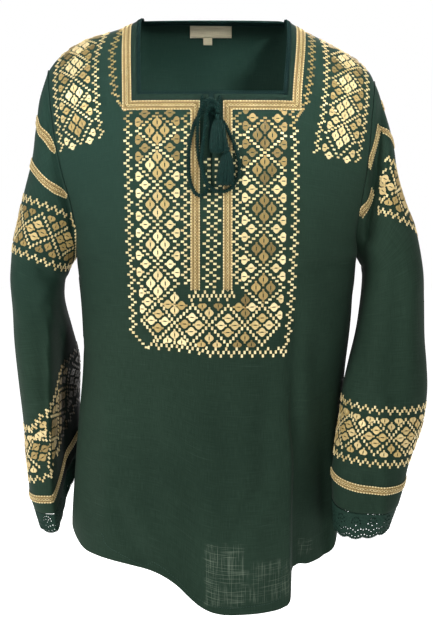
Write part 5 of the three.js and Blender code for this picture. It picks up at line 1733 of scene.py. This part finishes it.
def stitchSleeve(side):
    sc, look, face = sleeveChart, sleeveChart[side], sleeveFaces[side]
    c = Chart(face, 8 if side == "left" else 9)
    half = sc["repeat"] / 2
    # upper band: from the front seam round the outer side to the back seam
    front = [face.facing(x * mm, z * mm)[0] for x, z in look["front"]]
    x, z = look["outer"]
    outer = face.near((x * mm * 1.1, 0, z * mm))[0]
    behind = [face.behind(x * mm, z * mm)[0] for x, z in look["front"][::-1]]
    guide = smoothLine([*front, outer, *behind], 3 * mm)
    guide = np.array([face.near(point)[0] for point in guide])
    inward = unit(guide[0] - guide[4]), unit(guide[-1] - guide[-5])
    guide = np.vstack([guide[0] + inward[0] * 2 * half, guide, guide[-1] + inward[1] * 2 * half])
    bands = [(evenSpots(guide, half, front[0]), look["upperTones"])]
    # lower band: all the way round
    angles = np.linspace(-math.pi, math.pi, sc["places"])
    rings = mix(*look["rings"], ease(1.0, 2.2, np.abs(angles)))
    ring = np.array([face.near(point)[0] for point in sleevePoint(side, rings, angles)])
    around = np.linalg.norm(np.diff(ring, axis=0), axis=1).sum()
    count = 2 * round(around / sc["repeat"])
    ring = np.roll(ring[:-1], round(look["turn"] * sc["places"] / count), axis=0)
    bands.append((evenly(np.vstack([ring, ring[:1]]), around / count), look["tones"]))
    for line, (diamondTone, notchTone) in bands:
        isUpper = line[0][2] > -0.3
        c.fold = Curve(look["fold"]) if isUpper and "fold" in look else None
        tones = [(diamondTone if i % 2 else notchTone, pale - 0.1) for i in range(len(line))]
        c.chain(line, tones, size=sc["size"], blockSize=(0.94, 0.94))
        fine = smoothLine(line, 3 * mm)
        _, asides = c.frames(fine)
        for aside in (-sc["edge"], sc["edge"]):
            c.zigzag(fine + asides * aside, pale - 0.15, 2.9 * mm, 3.1 * mm, size=(0.9, 0.95))
    c.piece("stitchesSleeve" + side.title())


stitchSleeve("left")
stitchSleeve("right")


# Topstitching in the cloth's own thread

sewing = {
    "lift": 0.05 * mm, "hemPitch": 3.1 * mm, "hemUp": 9 * mm, "hemReach": (-168, 148, 160),
    # rows in the neck facings: across at the foot and at the shoulder, how low, and where they end
    # at the slit
    "facingPitch": 2.7 * mm, "facingTop": 2.4,
    "facings": [(-91.8, -94.8, -96.8, -7), (89.3, 96.8, -96.8, 4)],
}


def topstitch():
    s, rng = sewing, np.random.default_rng(3)
    for isFront, face, name in ((True, frontFace, "topstitchFront"), (False, backFace, "topstitchBack")):
        places = Places()
        hem, away = torso["frontHem" if isFront else "backHem"], (-140 if isFront else 140) * mm
        line = [(x, away, float(hem(x)) + s["hemUp"]) for x in np.linspace(*s["hemReach"]) * mm]
        line = np.array([face.near(point)[0] for point in line])
        follow(places, face, line, s["hemPitch"], stitch, lift=s["lift"], rng=rng)
        for low, high, height, end in s["facings"] if isFront else []:
            stops = [(low, high, s["facingTop"]), (low, high, height), (end, end, height)]
            edge, _ = edgeLines(True, (stops, stops), 3 * mm)
            follow(places, face, edge, s["facingPitch"], stitch, (0.9, 1, 1), lift=s["lift"], rng=rng)
        fit(repeated(name, places, trimShapes, greenSewing, seed=5), "cloth")


topstitch()
print("stitched")


# Studio

def addStudio():
    world = bpy.data.worlds.new("air")
    scene.world = world
    world.use_nodes = True
    nodes = Nodes(world.node_tree)
    air = nodes.node("ShaderNodeBackground", {}, {"Color": (1, 1, 1, 1), "Strength": studio["air"]})
    seen = nodes.node("ShaderNodeBackground", {}, {"Color": (1, 1, 1, 1), "Strength": studio["backdrop"]})
    ray = nodes.node("ShaderNodeLightPath").also("Is Camera Ray")
    mixed = nodes.node("ShaderNodeMixShader", {}, {0: ray, 1: air, 2: seen})
    nodes.node("ShaderNodeOutputWorld", {}, {"Surface": mixed})
    half, z = studio["floorReach"], studio["floorHeight"]
    corners = [(x, y, z) for x, y in box(half, half)]
    floor = newPiece("studioFloor", corners, [(0, 1, 2, 3)])
    f = Finish("floorPaper")
    grain = f.noise(f.place(), scale=3, detail=3)
    paper = f.node("ShaderNodeBsdfPrincipled", {}, {
        "Base Color": f.blend(grain, (0.93, 0.93, 0.93), (0.97, 0.97, 0.97)), "Roughness": 0.9,
        "Specular IOR Level": 0.1, "Emission Color": (1, 1, 1, 1), "Emission Strength": studio["floorGlow"]})
    f.node("ShaderNodeOutputMaterial", {}, {"Surface": paper})
    floor.data.materials.append(f.material)
    for name, place, aim, size, power, spread in studio["lamps"]:
        data = bpy.data.lights.new(name, "AREA")
        data.size, data.energy, data.spread = size, power, math.radians(spread)
        lamp = bpy.data.objects.new(name, data)
        scene.collection.objects.link(lamp)
        lamp.location = place
        lamp.rotation_euler = (Vector(aim) - Vector(place)).to_track_quat("-Z", "Y").to_euler()
    scene.view_settings.view_transform = "Standard"


addStudio()
# each piece's CAD nodes, its widest, its length and its cut's area in square metres
cuts = [
    (frontCloth, ["front"], (0.464, 0.695), 0.290), (backCloth, ["back"], (0.442, 0.690), 0.292),
    (sleeveLeft, ["sleeve_left", "forearm_left"], (0.565, 0.539), 0.165),
    (sleeveRight, ["sleeve_right", "forearm_right"], (0.539, 0.517), 0.162),
]
for piece, nodes, flat, area in cuts:
    fit(piece, "cloth", *nodes)
print("studio lit")
